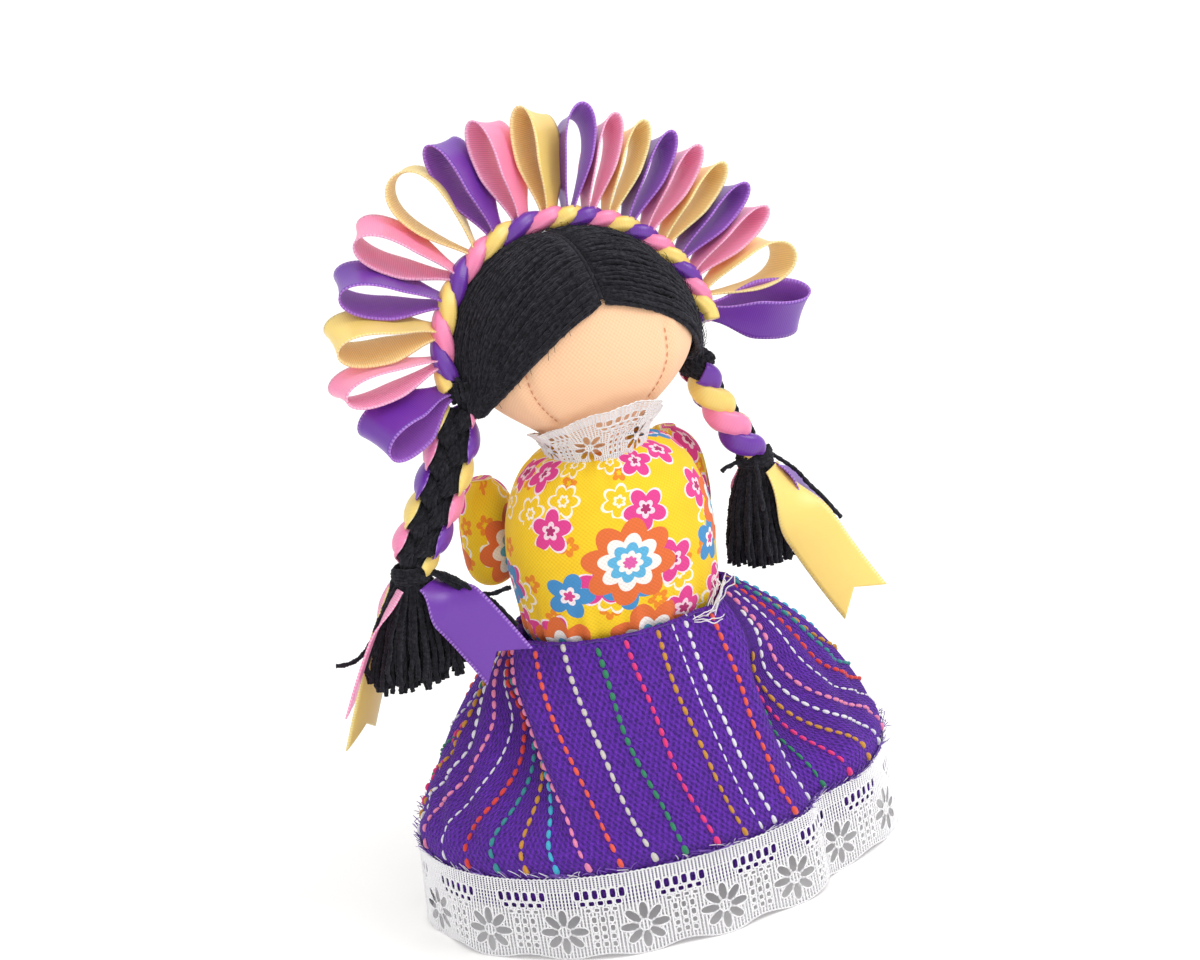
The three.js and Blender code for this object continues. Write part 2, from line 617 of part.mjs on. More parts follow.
/** A ribbon tail from the tassel's shoulder to a notched end; across is the ribbon's width direction there. */
function makeTail(name, side, tail) {
  const level = new THREE.Vector3(tail.run.x, tail.run.y, 0).normalize();
  const [halfWidth, halfDepth] = tasselHalf(side, TASSEL_SHOULDER);
  const seat = 1 / Math.hypot(level.x / halfWidth, level.y / halfDepth) + FIT_GAP + RIBBON_THICKNESS / 2;
  const start = tasselTop(side).addScaledVector(level, seat);
  start.x += side.sway * TASSEL_SHOULDER;
  start.z -= TASSEL_SHOULDER * TASSEL_LENGTH;
  const end = tieMiddle(side).addScaledVector(tail.run, TASSEL_LENGTH);
  const rise = new THREE.Vector3(0, 0, tail.arch);
  const bend = start.clone().lerp(end, 0.45).add(rise);
  const curve = new THREE.QuadraticBezierCurve3(start, bend, end);
  const lastAcross = tail.across.clone().normalize();
  const firstAcross = new THREE.Vector3(-level.y, level.x, 0);
  firstAcross.multiplyScalar(Math.sign(firstAcross.dot(lastAcross)));
  const notch = TAIL_NOTCH / curve.getLength();
  const sections = steps(0, 1, 10).map((t, i) => {
    const across = firstAcross.clone().lerp(lastAcross, smooth(t, 0.1, 0.7)).normalize();
    const along = curve.getTangent(t);
    across.addScaledVector(along, -across.dot(along)).normalize();
    const face = new THREE.Vector3().crossVectors(along, across);
    const half = lerp(RIBBON_WIDTH * 0.28, RIBBON_WIDTH, smooth(t, 0, 0.55)) / 2;
    const middle = curve.getPoint(i === 9 ? 1 - notch : t);
    const places = [curve.getPoint(t), middle, curve.getPoint(t)];
    const row = places.map((place, side) => place.clone().addScaledVector(across, (side - 1) * half));
    const upper = row.map((point) => point.clone().addScaledVector(face, RIBBON_THICKNESS / 2));
    const lower = row.map((point) => point.clone().addScaledVector(face, -RIBBON_THICKNESS / 2));
    return [...upper, ...lower.reverse()];
  });
  piece(`${name}_tail_${tail.colour}`, skin(sections, 'ladder'), tail.colour, 0.45);
}

/** Each tail's run from the tie to its end, in tassel lengths. */
const TAILS = {
  right: [
    { colour: 'purple', run: vector(0.747, -0.705, -0.805), across: vector(0.7, 0, 0.7), arch: 2 },
    { colour: 'pink', run: vector(-0.842, -0.074, -1.121), across: vector(0.2, 1, 0), arch: 3 },
    { colour: 'gold', run: vector(-0.474, 0.768, -1.489), across: vector(1, 0.6, 0), arch: 1 },
  ],
  left: [
    { colour: 'gold', run: vector(0.963, -0.237, -1.5), across: vector(0.6, 0, 0.8), arch: 5 },
    { colour: 'purple', run: vector(0.611, 0.489, -0.937), across: vector(0.6, 0.2, 0.8), arch: 4 },
    { colour: 'pink', run: vector(-0.095, 0.553, -0.989), across: vector(1, 0.4, 0), arch: 1 },
  ],
};

// Limbs: stuffed arms sewn to the back of each side, and stuffed legs under the skirt.

/** A stuffed limb hanging down from its sewn end: a cover with a mouth at the top, and its filling. */
function makeLimb(name, top, length, radii, turn, colour) {
  const shape = (t) => Math.sqrt(Math.max(0, 1 - ((1 - 2 * t) ** 2) ** 1.6)) * lerp(0.93, 1.07, t);
  const cosine = Math.cos(turn);
  const sine = Math.sin(turn);
  const ring = (t, inset, count, mouth = LIMB_MOUTH) => Array.from({ length: count }, (_, i) => {
    const angle = (i / count) * 2 * Math.PI;
    const across = Math.max(mouth, radii[0] * shape(t) - inset) * Math.cos(angle);
    const wide = Math.max(mouth, radii[1] * shape(t) - inset) * Math.sin(angle);
    const z = top.z - lerp(inset * (t > 0.5 ? 0 : 1), length - inset, t);
    return new THREE.Vector3(
      top.x + across * cosine - wide * sine,
      top.y + across * sine + wide * cosine,
      z,
    );
  });
  const grid = steps(0, 1, 7).map((t) => lerp(0, 0.985, 0.5 - 0.5 * Math.cos(Math.PI * t)));
  const outer = [...grid].reverse().map((t) => ring(t, 0, 16));
  const inner = grid.map((t) => ring(t, CLOTH, 16));
  piece(`${name}_cover`, skin([...outer, ...inner]), colour);
  const filling = grid.slice(1).map((t) => ring(t, CLOTH + FIT_GAP, 14, LIMB_MOUTH - FIT_GAP));
  piece(`${name}_stuffing`, skin(filling), 'fill');
}

function makeArm(name, sign) {
  const turn = radians(sign > 0 ? ARM_TURN : 180 - ARM_TURN);
  const shoulderZ = NECKLINE_Z - SHOULDER_DROP;
  const outward = Math.hypot(TORSO_HALF_WIDTH * Math.cos(turn), TORSO_HALF_DEPTH * Math.sin(turn));
  const reach = FIT_GAP + ARM_HALF_THICKNESS;
  const x = (TORSO_HALF_WIDTH ** 2 / outward + reach) * Math.cos(turn);
  const y = (TORSO_HALF_DEPTH ** 2 / outward + reach) * Math.sin(turn);
  const top = new THREE.Vector3(x, y, shoulderZ);
  makeLimb(`${name}_arm`, top, ARM_LENGTH, [ARM_HALF_THICKNESS, ARM_HALF_WIDTH], turn, 'bodice');
}

function makeLeg(name, sign) {
  const hipZ = TORSO_BOTTOM - HIP_GAP;
  const top = new THREE.Vector3(sign * LEG_SPREAD, 0, hipZ);
  makeLimb(`${name}_leg`, top, hipZ - FOOT_CLEARANCE, [LEG_RADIUS, LEG_RADIUS], 0, 'skin');
}

makeTorso();
makeSkirt();
makeHead();
makeCollar();
makePartingThread();
makeBand();
for (let index = 0; index < LOOPS.length; index += 1) {
  makeLoop(index);
}
for (const [name, side] of Object.entries(SIDES)) {
  makeHair(name, side);
  makeBraid(name, side);
  makeTassel(name, side);
  TAILS[name].forEach((tail) => makeTail(name, side, tail));
  makeArm(name, side.sign);
  makeLeg(name, side.sign);
}

export default doll;
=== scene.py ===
"""Looks of a small faceless cloth doll: stuffed cotton, handloom skirt, lace, yarn and satin ribbon.

Lengths in the classes are millimetres in the model's frame; meshes are written in metres.
"""
import logging
import math
from collections.abc import Callable
from dataclasses import dataclass
from enum import Enum
from functools import partial
from itertools import cycle

import bpy
import numpy as np
from bpy.types import Material, Node, NodeSocket, NodeTree, Object
from mathutils import Matrix, Vector
from numpy.random import Generator, default_rng


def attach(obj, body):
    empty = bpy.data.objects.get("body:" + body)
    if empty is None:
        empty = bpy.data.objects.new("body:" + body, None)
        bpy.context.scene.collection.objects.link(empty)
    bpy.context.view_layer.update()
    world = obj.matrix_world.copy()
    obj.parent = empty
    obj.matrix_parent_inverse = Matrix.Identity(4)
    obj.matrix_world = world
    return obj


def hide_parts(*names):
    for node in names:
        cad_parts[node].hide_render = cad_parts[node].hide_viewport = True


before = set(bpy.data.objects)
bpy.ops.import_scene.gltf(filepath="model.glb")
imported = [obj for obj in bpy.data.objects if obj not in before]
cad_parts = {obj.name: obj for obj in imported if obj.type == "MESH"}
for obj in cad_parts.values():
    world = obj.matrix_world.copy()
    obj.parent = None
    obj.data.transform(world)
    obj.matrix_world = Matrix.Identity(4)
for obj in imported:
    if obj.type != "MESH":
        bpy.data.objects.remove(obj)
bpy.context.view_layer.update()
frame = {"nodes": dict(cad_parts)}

LOG = logging.getLogger("doll")
Array = np.ndarray
Adder = Callable[..., Node]
MM = 0.001
TAU = 2 * math.pi
GOLDEN_ANGLE = 2.39996
SEED = 1847
FIT = 0.35  # gap between sewn pieces in mm
CROWN_LEAN = math.radians(25.0)  # how far the crown's plane leans from upright
CROWN_BACK = np.array([0, math.cos(CROWN_LEAN), -math.sin(CROWN_LEAN)])


def linear(code: str) -> tuple[float, float, float, float]:
    """Turns an sRGB hex colour into linear RGBA.

    Args:
        code: Colour such as "#5B1E96".

    Returns:
        Linear red, green, blue and an alpha of 1.
    """
    channels = [int(code[i:i + 2], 16) / 255 for i in (1, 3, 5)]
    values = [c / 12.92 if c <= 0.04045 else ((c + 0.055) / 1.055) ** 2.4 for c in channels]
    return (*values, 1.0)


def fill(node: Node, inputs: dict) -> None:
    """Sets a node's input sockets.

    Args:
        node: The node.
        inputs: Input socket to a value, to an output socket, or to a node whose live output is linked.
    """
    for key, value in inputs.items():
        if isinstance(value, Node):
            value = next(socket for socket in value.outputs if socket.enabled)
        if isinstance(value, NodeSocket):
            node.id_data.links.new(value, node.inputs[key])
        else:
            node.inputs[key].default_value = value


def add_node(tree: NodeTree, kind: str, inputs: dict | None = None, **settings) -> Node:
    """Adds a node with its settings, values and links.

    Args:
        tree: Node tree that takes the node.
        kind: Node type name.
        inputs: Its inputs, as in fill.
        settings: Node properties.

    Returns:
        The new node.
    """
    node = tree.nodes.new(kind)
    for key, value in settings.items():
        setattr(node, key, value)
    fill(node, inputs or {})
    return node


def unit(vectors: Array) -> Array:
    """Scales vectors to length 1."""
    return vectors / np.maximum(np.linalg.norm(vectors, axis=-1, keepdims=True), 1e-12)


def squared(value: Array, power: float) -> Array:
    """Raises a signed share to a power, which squares a round section off where the power is under one."""
    return np.sign(value) * np.abs(value) ** power


def smooth(value: Array | float, low: float, high: float) -> Array:
    """Smooth step from 0 at low to 1 at high."""
    t = np.clip((np.asarray(value, float) - low) / (high - low), 0, 1)
    return t * t * (3 - 2 * t)


def mix(a: Array | float, b: Array | float, share: Array | float) -> Array:
    """Blends from a to b by a share."""
    return a + (b - a) * share


def along(path: Array) -> Array:
    """Unit tangents of a path of points."""
    return unit(np.gradient(path, axis=0))


def lengths(path: Array) -> Array:
    """Distance along a path at each of its points."""
    return np.concatenate([[0], np.cumsum(np.linalg.norm(np.diff(path, axis=0), axis=1))])


def square_to(vectors: Array, axes: Array) -> Array:
    """Unit vectors turned square to the given unit axes."""
    return unit(vectors - np.sum(vectors * axes, axis=-1, keepdims=True) * axes)


def wander(count: int, rng: Generator, waves: int = 3) -> Array:
    """A smooth random line of values between about -1 and 1."""
    t = np.linspace(0, 1, count)
    parts = [np.sin(TAU * (rng.uniform(0.3, waves) * t + rng.uniform())) for _ in range(3)]
    return np.sum(parts, axis=0) / 2


def joined(*coordinates: Array | float) -> Array:
    """Points made of their coordinates, each spread to the shape of all."""
    return np.stack(np.broadcast_arrays(*coordinates), axis=-1)


def sample(path: Array, run: Array, spots: Array) -> Array:
    """Points of a path at spots along it, where run is the distance at each of its own points."""
    return joined(*(np.interp(spots, run, row) for row in path.T))


def swept(start: Array, control: Array, end: Array, t: Array) -> Array:
    """Points of a curve that leaves start toward control and comes to end from it."""
    return (1 - t) ** 2 * start + 2 * t * (1 - t) * control + t * t * end


def away(path: Array, u: Array, x: Array, v: Array, y: Array) -> Array:
    """Points at x along the directions u and y along the directions v from a path."""
    return path + u * x[..., None] + v * y[..., None]


def linked(name: str, data: bpy.types.ID) -> Object:
    """Makes an object and links it to the scene."""
    piece = bpy.data.objects.new(name, data)
    bpy.context.scene.collection.objects.link(piece)
    return piece


def mesh_object(name: str, points: Array, faces: list, materials: list) -> Object:
    """Makes a smooth mesh object.

    Args:
        name: Piece name.
        points: Vertices in mm.
        faces: Vertex indices of each face.
        materials: Material slots.

    Returns:
        The linked object.
    """
    mesh = bpy.data.meshes.new(name)
    mesh.from_pydata((np.asarray(points) * MM).tolist(), [], faces)
    mesh.polygons.foreach_set("use_smooth", np.ones(len(mesh.polygons), bool))
    for material in materials:
        mesh.materials.append(material)
    return linked(name, mesh)


def grid_object(
    name: str,
    points: Array,
    uv: Array,
    material: Material,
    wrap: bool = False,
    caps: bool = False,
) -> Object:
    """Skins a grid of points with a UV map in mm.

    Args:
        name: Piece name.
        points: Grid of rows, columns and xyz, in mm.
        uv: Grid of cloth coordinates in mm, with one more column where the grid wraps.
        material: Finish of the surface.
        wrap: Joins the last column to the first.
        caps: Closes the first and last row.

    Returns:
        The linked object.
    """
    rows, columns = points.shape[:2]
    spans = columns if wrap else columns - 1
    faces = []
    corners = []
    for r in range(rows - 1):
        for c in range(spans):
            n = (c + 1) % columns
            faces.append((r * columns + c, r * columns + n, (r + 1) * columns + n, (r + 1) * columns + c))
            corners.extend((uv[r, c], uv[r, c + 1], uv[r + 1, c + 1], uv[r + 1, c]))
    if caps:
        faces.append(tuple(range(columns - 1, -1, -1)))
        corners.extend(uv[0, c] for c in range(columns - 1, -1, -1))
        last = (rows - 1) * columns
        faces.append(tuple(range(last, last + columns)))
        corners.extend(uv[-1, c] for c in range(columns))
    piece = mesh_object(name, points.reshape(-1, 3), faces, [material])
    layer = piece.data.uv_layers.new(name="cloth")
    layer.data.foreach_set("uv", np.asarray(corners, float).ravel())
    return piece


def thicken(piece: Object, thickness: float, offset: float = -1.0) -> None:
    """Gives a sheet its thickness in mm with a live Solidify."""
    solid = piece.modifiers.new("thickness", "SOLIDIFY")
    solid.thickness = thickness * MM
    solid.offset = offset


def settle(piece: Object, body: str, slot: str, *nodes: str) -> None:
    """Sets a finished piece on its body.

    Args:
        piece: The piece, in place.
        body: Body that it moves with.
        slot: Material slot of the record; not used.
        nodes: Solids that it stands for.
    """
    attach(piece, body)
    if nodes:
        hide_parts(*nodes)
    LOG.info("%s on %s: %d faces", piece.name, body, len(piece.data.polygons))


class ThreadTubes:
    """Geometry Nodes that turn polylines into threads: round, flat or twisted, with tapered ends."""

    def __init__(self) -> None:
        """Builds the node tree once."""
        tree = bpy.data.node_groups.new("thread tubes", "GeometryNodeTree")
        face = tree.interface
        face.new_socket("Lines", in_out="INPUT", socket_type="NodeSocketGeometry")
        for name in ("Radius", "Flatness", "Twist", "Taper"):
            face.new_socket(name, in_out="INPUT", socket_type="NodeSocketFloat")
        face.new_socket("Sides", in_out="INPUT", socket_type="NodeSocketInt")
        face.new_socket("Material", in_out="INPUT", socket_type="NodeSocketMaterial")
        face.new_socket("Threads", in_out="OUTPUT", socket_type="NodeSocketGeometry")
        add = partial(add_node, tree)
        start = add("NodeGroupInput").outputs
        curve = add("GeometryNodeMeshToCurve", {0: start["Lines"]})
        place = add("GeometryNodeSplineParameter").outputs
        turn = add("ShaderNodeMath", {0: place["Length"], 1: start["Twist"]}, operation="MULTIPLY")
        tilted = add("GeometryNodeSetCurveTilt", {0: curve, "Tilt": turn})
        centred = add("ShaderNodeMath", {0: place["Factor"], 1: 2.0, 2: -1.0}, operation="MULTIPLY_ADD")
        steep = add("ShaderNodeMath", {0: centred, 1: 4.0}, operation="POWER")
        ends = add("ShaderNodeMath", {0: steep, 1: start["Taper"]}, operation="MULTIPLY")
        slim = add("ShaderNodeMath", {0: 1.0, 1: ends}, operation="SUBTRACT")
        own = add("GeometryNodeInputNamedAttribute", {"Name": "width"}, data_type="FLOAT").outputs
        choice = {"Switch": own["Exists"], "False": 1.0, "True": own["Attribute"]}
        wide = add("GeometryNodeSwitch", choice, input_type="FLOAT")
        full = add("ShaderNodeMath", {0: wide, 1: start["Radius"]}, operation="MULTIPLY")
        scale = add("ShaderNodeMath", {0: slim, 1: full}, operation="MULTIPLY")
        ring = add("GeometryNodeCurvePrimitiveCircle", {"Resolution": start["Sides"], "Radius": 1.0})
        flat = add("ShaderNodeCombineXYZ", {0: 1.0, 1: start["Flatness"], 2: 1.0})
        profile = add("GeometryNodeTransform", {0: ring, "Scale": flat})
        skin = add("GeometryNodeCurveToMesh", {0: tilted, 1: profile, "Scale": scale, "Fill Caps": True})
        rounded = add("GeometryNodeSetShadeSmooth", {0: skin})
        whole = add("GeometryNodeRealizeInstances", {0: rounded})
        dressed = add("GeometryNodeSetMaterial", {0: whole, "Material": start["Material"]})
        add("NodeGroupOutput", {0: dressed})
        self.tree = tree

    def make(
        self,
        name: str,
        lines: list[Array],
        material: Material,
        radius: float,
        sides: int = 6,
        flatness: float = 1.0,
        twist: float = 0.0,
        taper: float = 0.0,
        colours: list[str] | None = None,
        widths: list[float] | None = None,
    ) -> Object:
        """Makes threads along polylines.

        Args:
            name: Piece name.
            lines: Polylines in mm.
            material: Finish of the threads.
            radius: Half the thread's width in mm.
            sides: Sides of the section.
            flatness: Thickness as a share of the width.
            twist: Turns per mm of the section along the thread.
            taper: Share of the radius lost at the ends.
            colours: A hex colour for each line, kept in the attribute "dye".
            widths: A share of the radius for each line.

        Returns:
            The linked object with a plain mesh.
        """
        points = np.concatenate(lines)
        edges = []
        first = 0
        for line in lines:
            edges.extend((first + i, first + i + 1) for i in range(len(line) - 1))
            first += len(line)
        mesh = bpy.data.meshes.new(name)
        mesh.from_pydata((points * MM).tolist(), edges, [])
        if colours:
            dye = mesh.attributes.new("dye", "FLOAT_COLOR", "POINT")
            shades = [linear(code) for line, code in zip(lines, colours) for _ in line]
            dye.data.foreach_set("color", np.asarray(shades, np.float32).ravel())
        if widths:
            wide = mesh.attributes.new("width", "FLOAT", "POINT")
            shares = [share for line, share in zip(lines, widths) for _ in line]
            wide.data.foreach_set("value", np.asarray(shares, np.float32))
        source = linked(name + "_lines", mesh)
        modifier = source.modifiers.new("threads", "NODES")
        modifier.node_group = self.tree
        values = {
            "Radius": radius * MM,
            "Flatness": flatness,
            "Twist": twist * TAU / MM,
            "Taper": taper,
            "Sides": sides,
            "Material": material,
        }
        for item in self.tree.interface.items_tree:
            if item.in_out == "INPUT" and item.name in values:
                modifier[item.identifier] = values[item.name]
        source.update_tag()
        graph = bpy.context.evaluated_depsgraph_get()
        plain = bpy.data.meshes.new_from_object(source.evaluated_get(graph))
        plain.name = name
        bpy.data.objects.remove(source)
        return linked(name, plain)


THREADS = ThreadTubes()

# light spreads a little way inside thin ribbon and white thread
THIN_CLOTH = {
    "Subsurface Weight": 0.4,
    "Subsurface Radius": (1.0, 1.0, 1.0),
    "Subsurface Scale": 0.0005,
}


def new_material(name: str) -> tuple[Material, Adder, Node]:
    """Makes a node material.

    Returns:
        The material, add_node for its tree, and its Principled shader.
    """
    material = bpy.data.materials.new(name)
    material.use_nodes = True
    tree = material.node_tree
    return material, partial(add_node, tree), tree.nodes["Principled BSDF"]


def weave(add: Adder, pitch: float, loose: float = 0.5, tall: float = 1.0) -> Node:
    """Adds the over-and-under relief of a plain weave on the cloth's own UV map.

    Args:
        add: Adds a node to the material.
        pitch: Distance between threads in mm.
        loose: How far threads stray, as a share of the pitch.
        tall: Pitch along the warp as a share of the pitch across it.

    Returns:
        Height from -1 to 1: raised where the warp crosses over, low where the cross threads do.
    """
    place = add("ShaderNodeUVMap", uv_map="cloth")
    jitter = add("ShaderNodeTexNoise", {"Vector": place, "Scale": 0.9 / pitch, "Detail": 1.0})
    stray = {0: jitter.outputs["Color"], 1: (pitch * loose,) * 3}
    shake = add("ShaderNodeVectorMath", stray, operation="MULTIPLY")
    moved = add("ShaderNodeVectorMath", {0: place, 1: shake}, operation="ADD")
    axes = add("ShaderNodeSeparateXYZ", {0: moved}).outputs
    waves = {}
    for k, step in enumerate((pitch, pitch * tall)):
        angle = add("ShaderNodeMath", {0: axes[k], 1: math.pi / step}, operation="MULTIPLY")
        waves[k] = add("ShaderNodeMath", {0: angle}, operation="SINE")
    return add("ShaderNodeMath", waves, operation="MULTIPLY")


@dataclass(frozen=True)
class PlainCotton:
    """Plain-weave cotton sheeting: matt, with a fine even grain of dots where the threads cross."""

    name: str
    colour: str
    shade: str
    pitch: float = 0.38  # the cloth's 0.2 mm, drawn coarser so that it shows

    def material(self) -> Material:
        """Builds the finish."""
        material, add, shader = new_material(self.name)
        height = weave(add, self.pitch)
        # painted shade: the low places of the weave are darkened toward the shade colour
        share = add("ShaderNodeMath", {0: height, 1: -0.2, 2: 0.2}, operation="MULTIPLY_ADD")
        tones = {0: share, 6: linear(self.colour), 7: linear(self.shade)}
        tint = add("ShaderNodeMix", tones, data_type="RGBA")
        bump = add("ShaderNodeBump", {"Strength": 0.2, "Distance": 0.0001, "Height": height})
        fill(shader, {"Base Color": tint, "Normal": bump, "Roughness": 0.9, "Sheen Weight": 0.12})
        return material


@dataclass(frozen=True)
class Motif:
    """A printed flower, repeated at random places.

    Args:
        pitch: Distance between flowers in mm.
        petals: Number of petals.
        reach: Petal length as a share of the pitch.
        notch: Depth between petals as a share of their length.
        keep: Share of the places that carry a flower.
        shift: Moves this layer of the print.
        rings: Colours from the petal's edge inward, each with its share of the petal.
    """

    pitch: float
    petals: int
    reach: float
    notch: float
    keep: float
    shift: float
    rings: tuple[tuple[float, str], ...]


@dataclass(frozen=True)
class PrintedCotton:
    """Plain-weave cotton with a screen-printed scatter of generic flowers on yellow."""

    name: str = "printed cotton"
    ground: str = "#FFDA24"
    faded: str = "#F3BF08"
    # painted shade: a brown that darkens the low places of the weave
    weft_shade: str = "#7A5A20"
    pitch: float = 0.4  # the cloth's 0.3 mm, drawn coarser so that it shows
    motifs: tuple[Motif, ...] = (
        Motif(6.4, 5, 0.30, 0.45, 0.42, 3.1, ((1.0, "#F08A1E"), (0.34, "#F7CB12"))),
        Motif(
            8.8, 6, 0.40, 0.35, 0.55, 7.7,
            ((1.0, "#FFF6E6"), (0.84, "#F7CB12"), (0.36, "#FFF6E6"), (0.2, "#F7CB12")),
        ),
        Motif(
            10.4, 5, 0.43, 0.42, 0.5, 1.9,
            ((1.0, "#FBE6EE"), (0.9, "#E23A90"), (0.4, "#F9D9E6"), (0.22, "#B0206C")),
        ),
        Motif(12.6, 5, 0.36, 0.42, 0.42, 5.3, ((1.0, "#3B8FCB"), (0.42, "#FBEFF3"), (0.24, "#DD3C8C"))),
        Motif(
            17.5, 8, 0.46, 0.26, 0.62, 11.2,
            ((1.0, "#E56E34"), (0.66, "#FBF4EE"), (0.46, "#59B4DF"), (0.27, "#FBF4EE"), (0.15, "#E05AA8")),
        ),
    )

    def flower(self, add: Adder, place: Node, motif: Motif, ground: Node) -> Node:
        """Prints one layer of flowers over the ground.

        Args:
            add: Adds a node to the material.
            place: Cloth coordinates in mm.
            motif: The flower.
            ground: Colour below it.

        Returns:
            The printed colour.
        """
        layout = {
            "Vector": place,
            "Location": (motif.shift, motif.shift * 0.7, 0),
            "Scale": (1 / motif.pitch,) * 3,
        }
        spot = add("ShaderNodeMapping", layout)
        scatter = {"Vector": spot, "Scale": 1.0, "Randomness": 0.55}
        cell = add("ShaderNodeTexVoronoi", scatter, voronoi_dimensions="2D").outputs
        offset = add("ShaderNodeVectorMath", {0: spot, 1: cell["Position"]}, operation="SUBTRACT")
        axes = add("ShaderNodeSeparateXYZ", {0: offset}).outputs
        chance = add("ShaderNodeSeparateColor", {0: cell["Color"]}).outputs
        angle = add("ShaderNodeMath", {0: axes[1], 1: axes[0]}, operation="ARCTAN2")
        spin = add("ShaderNodeMath", {0: chance[0], 1: TAU}, operation="MULTIPLY")
        petal = add("ShaderNodeMath", {0: angle, 1: motif.petals / 2, 2: spin}, operation="MULTIPLY_ADD")
        lobe = add("ShaderNodeMath", {0: petal}, operation="COSINE")
        round_lobe = add("ShaderNodeMath", {0: lobe}, operation="ABSOLUTE")
        outline = {0: round_lobe, 1: motif.reach * motif.notch, 2: motif.reach * (1 - motif.notch)}
        edge = add("ShaderNodeMath", outline, operation="MULTIPLY_ADD")
        reach = add("ShaderNodeVectorMath", {0: offset}, operation="LENGTH")
        share = add("ShaderNodeMath", {0: reach, 1: edge}, operation="DIVIDE")
        kept = add("ShaderNodeMath", {0: chance[1], 1: motif.keep}, operation="LESS_THAN")
        colour = ground
        for size, code in motif.rings:
            inside = add("ShaderNodeMath", {0: share, 1: size}, operation="LESS_THAN")
            drawn = add("ShaderNodeMath", {0: inside, 1: kept}, operation="MULTIPLY")
            colour = add("ShaderNodeMix", {0: drawn, 6: colour, 7: linear(code)}, data_type="RGBA")
        return colour

    def material(self) -> Material:
        """Builds the finish."""
        material, add, shader = new_material(self.name)
        place = add("ShaderNodeUVMap", uv_map="cloth")
        fade = add("ShaderNodeTexNoise", {"Vector": place, "Scale": 0.12, "Detail": 2.0})
        tones = {0: fade, 6: linear(self.ground), 7: linear(self.faded)}
        colour = add("ShaderNodeMix", tones, data_type="RGBA")
        for motif in self.motifs:
            colour = self.flower(add, place, motif, colour)
        height = weave(add, self.pitch)
        # painted shade: the print is darkened toward brown in the low places of the weave
        share = add("ShaderNodeMath", {0: height, 1: -0.11, 2: 0.07}, operation="MULTIPLY_ADD")
        print_with_shade = add("ShaderNodeMix", {0: share, 6: colour, 7: linear(self.weft_shade)}, data_type="RGBA")
        bump = add("ShaderNodeBump", {"Strength": 0.25, "Distance": 0.0001, "Height": height})
        fill(shader, {"Base Color": print_with_shade, "Normal": bump, "Roughness": 0.85, "Sheen Weight": 0.08})
        return material


@dataclass(frozen=True)
class Handloom:
    """Coarse handloom cotton: thick soft yarns in a lumpy plain weave, with a dry, slightly hairy surface."""

    name: str = "handloom cotton"
    colour: str = "#7029C2"
    shade: str = "#3A1079"
    haze: str = "#B48BE8"
    pitch: float = 0.54
    tall: float = 1.6
    loose: float = 1.4

    def material(self) -> Material:
        """Builds the finish."""
        material, add, shader = new_material(self.name)
        place = add("ShaderNodeUVMap", uv_map="cloth")
        height = weave(add, self.pitch, self.loose, self.tall)
        slub = add("ShaderNodeTexNoise", {"Vector": place, "Scale": 1.1, "Detail": 3.0, "Roughness": 0.7})
        fibre = add("ShaderNodeTexNoise", {"Vector": place, "Scale": 5.0, "Detail": 2.0})
        lumpy = add("ShaderNodeMath", {0: slub, 1: 2.2, 2: height}, operation="MULTIPLY_ADD")
        relief = add("ShaderNodeMath", {0: fibre, 1: 0.7, 2: lumpy}, operation="MULTIPLY_ADD")
        # darker where the relief is low: partly the yarn's own uneven tone, partly painted shade in the
        # hollows of the weave
        share = add("ShaderNodeMapRange", {0: relief, 1: 0.3, 2: 2.4, 3: 1.0, 4: 0.0})
        tones = {0: share, 6: linear(self.colour), 7: linear(self.shade)}
        tint = add("ShaderNodeMix", tones, data_type="RGBA")
        bump = add("ShaderNodeBump", {"Strength": 0.9, "Distance": 0.0004, "Height": relief})
        fill(shader, {"Base Color": tint, "Normal": bump, "Roughness": 0.95})
        fill(shader, {"Sheen Weight": 0.12, "Sheen Roughness": 0.5, "Sheen Tint": linear(self.haze)})
        return material


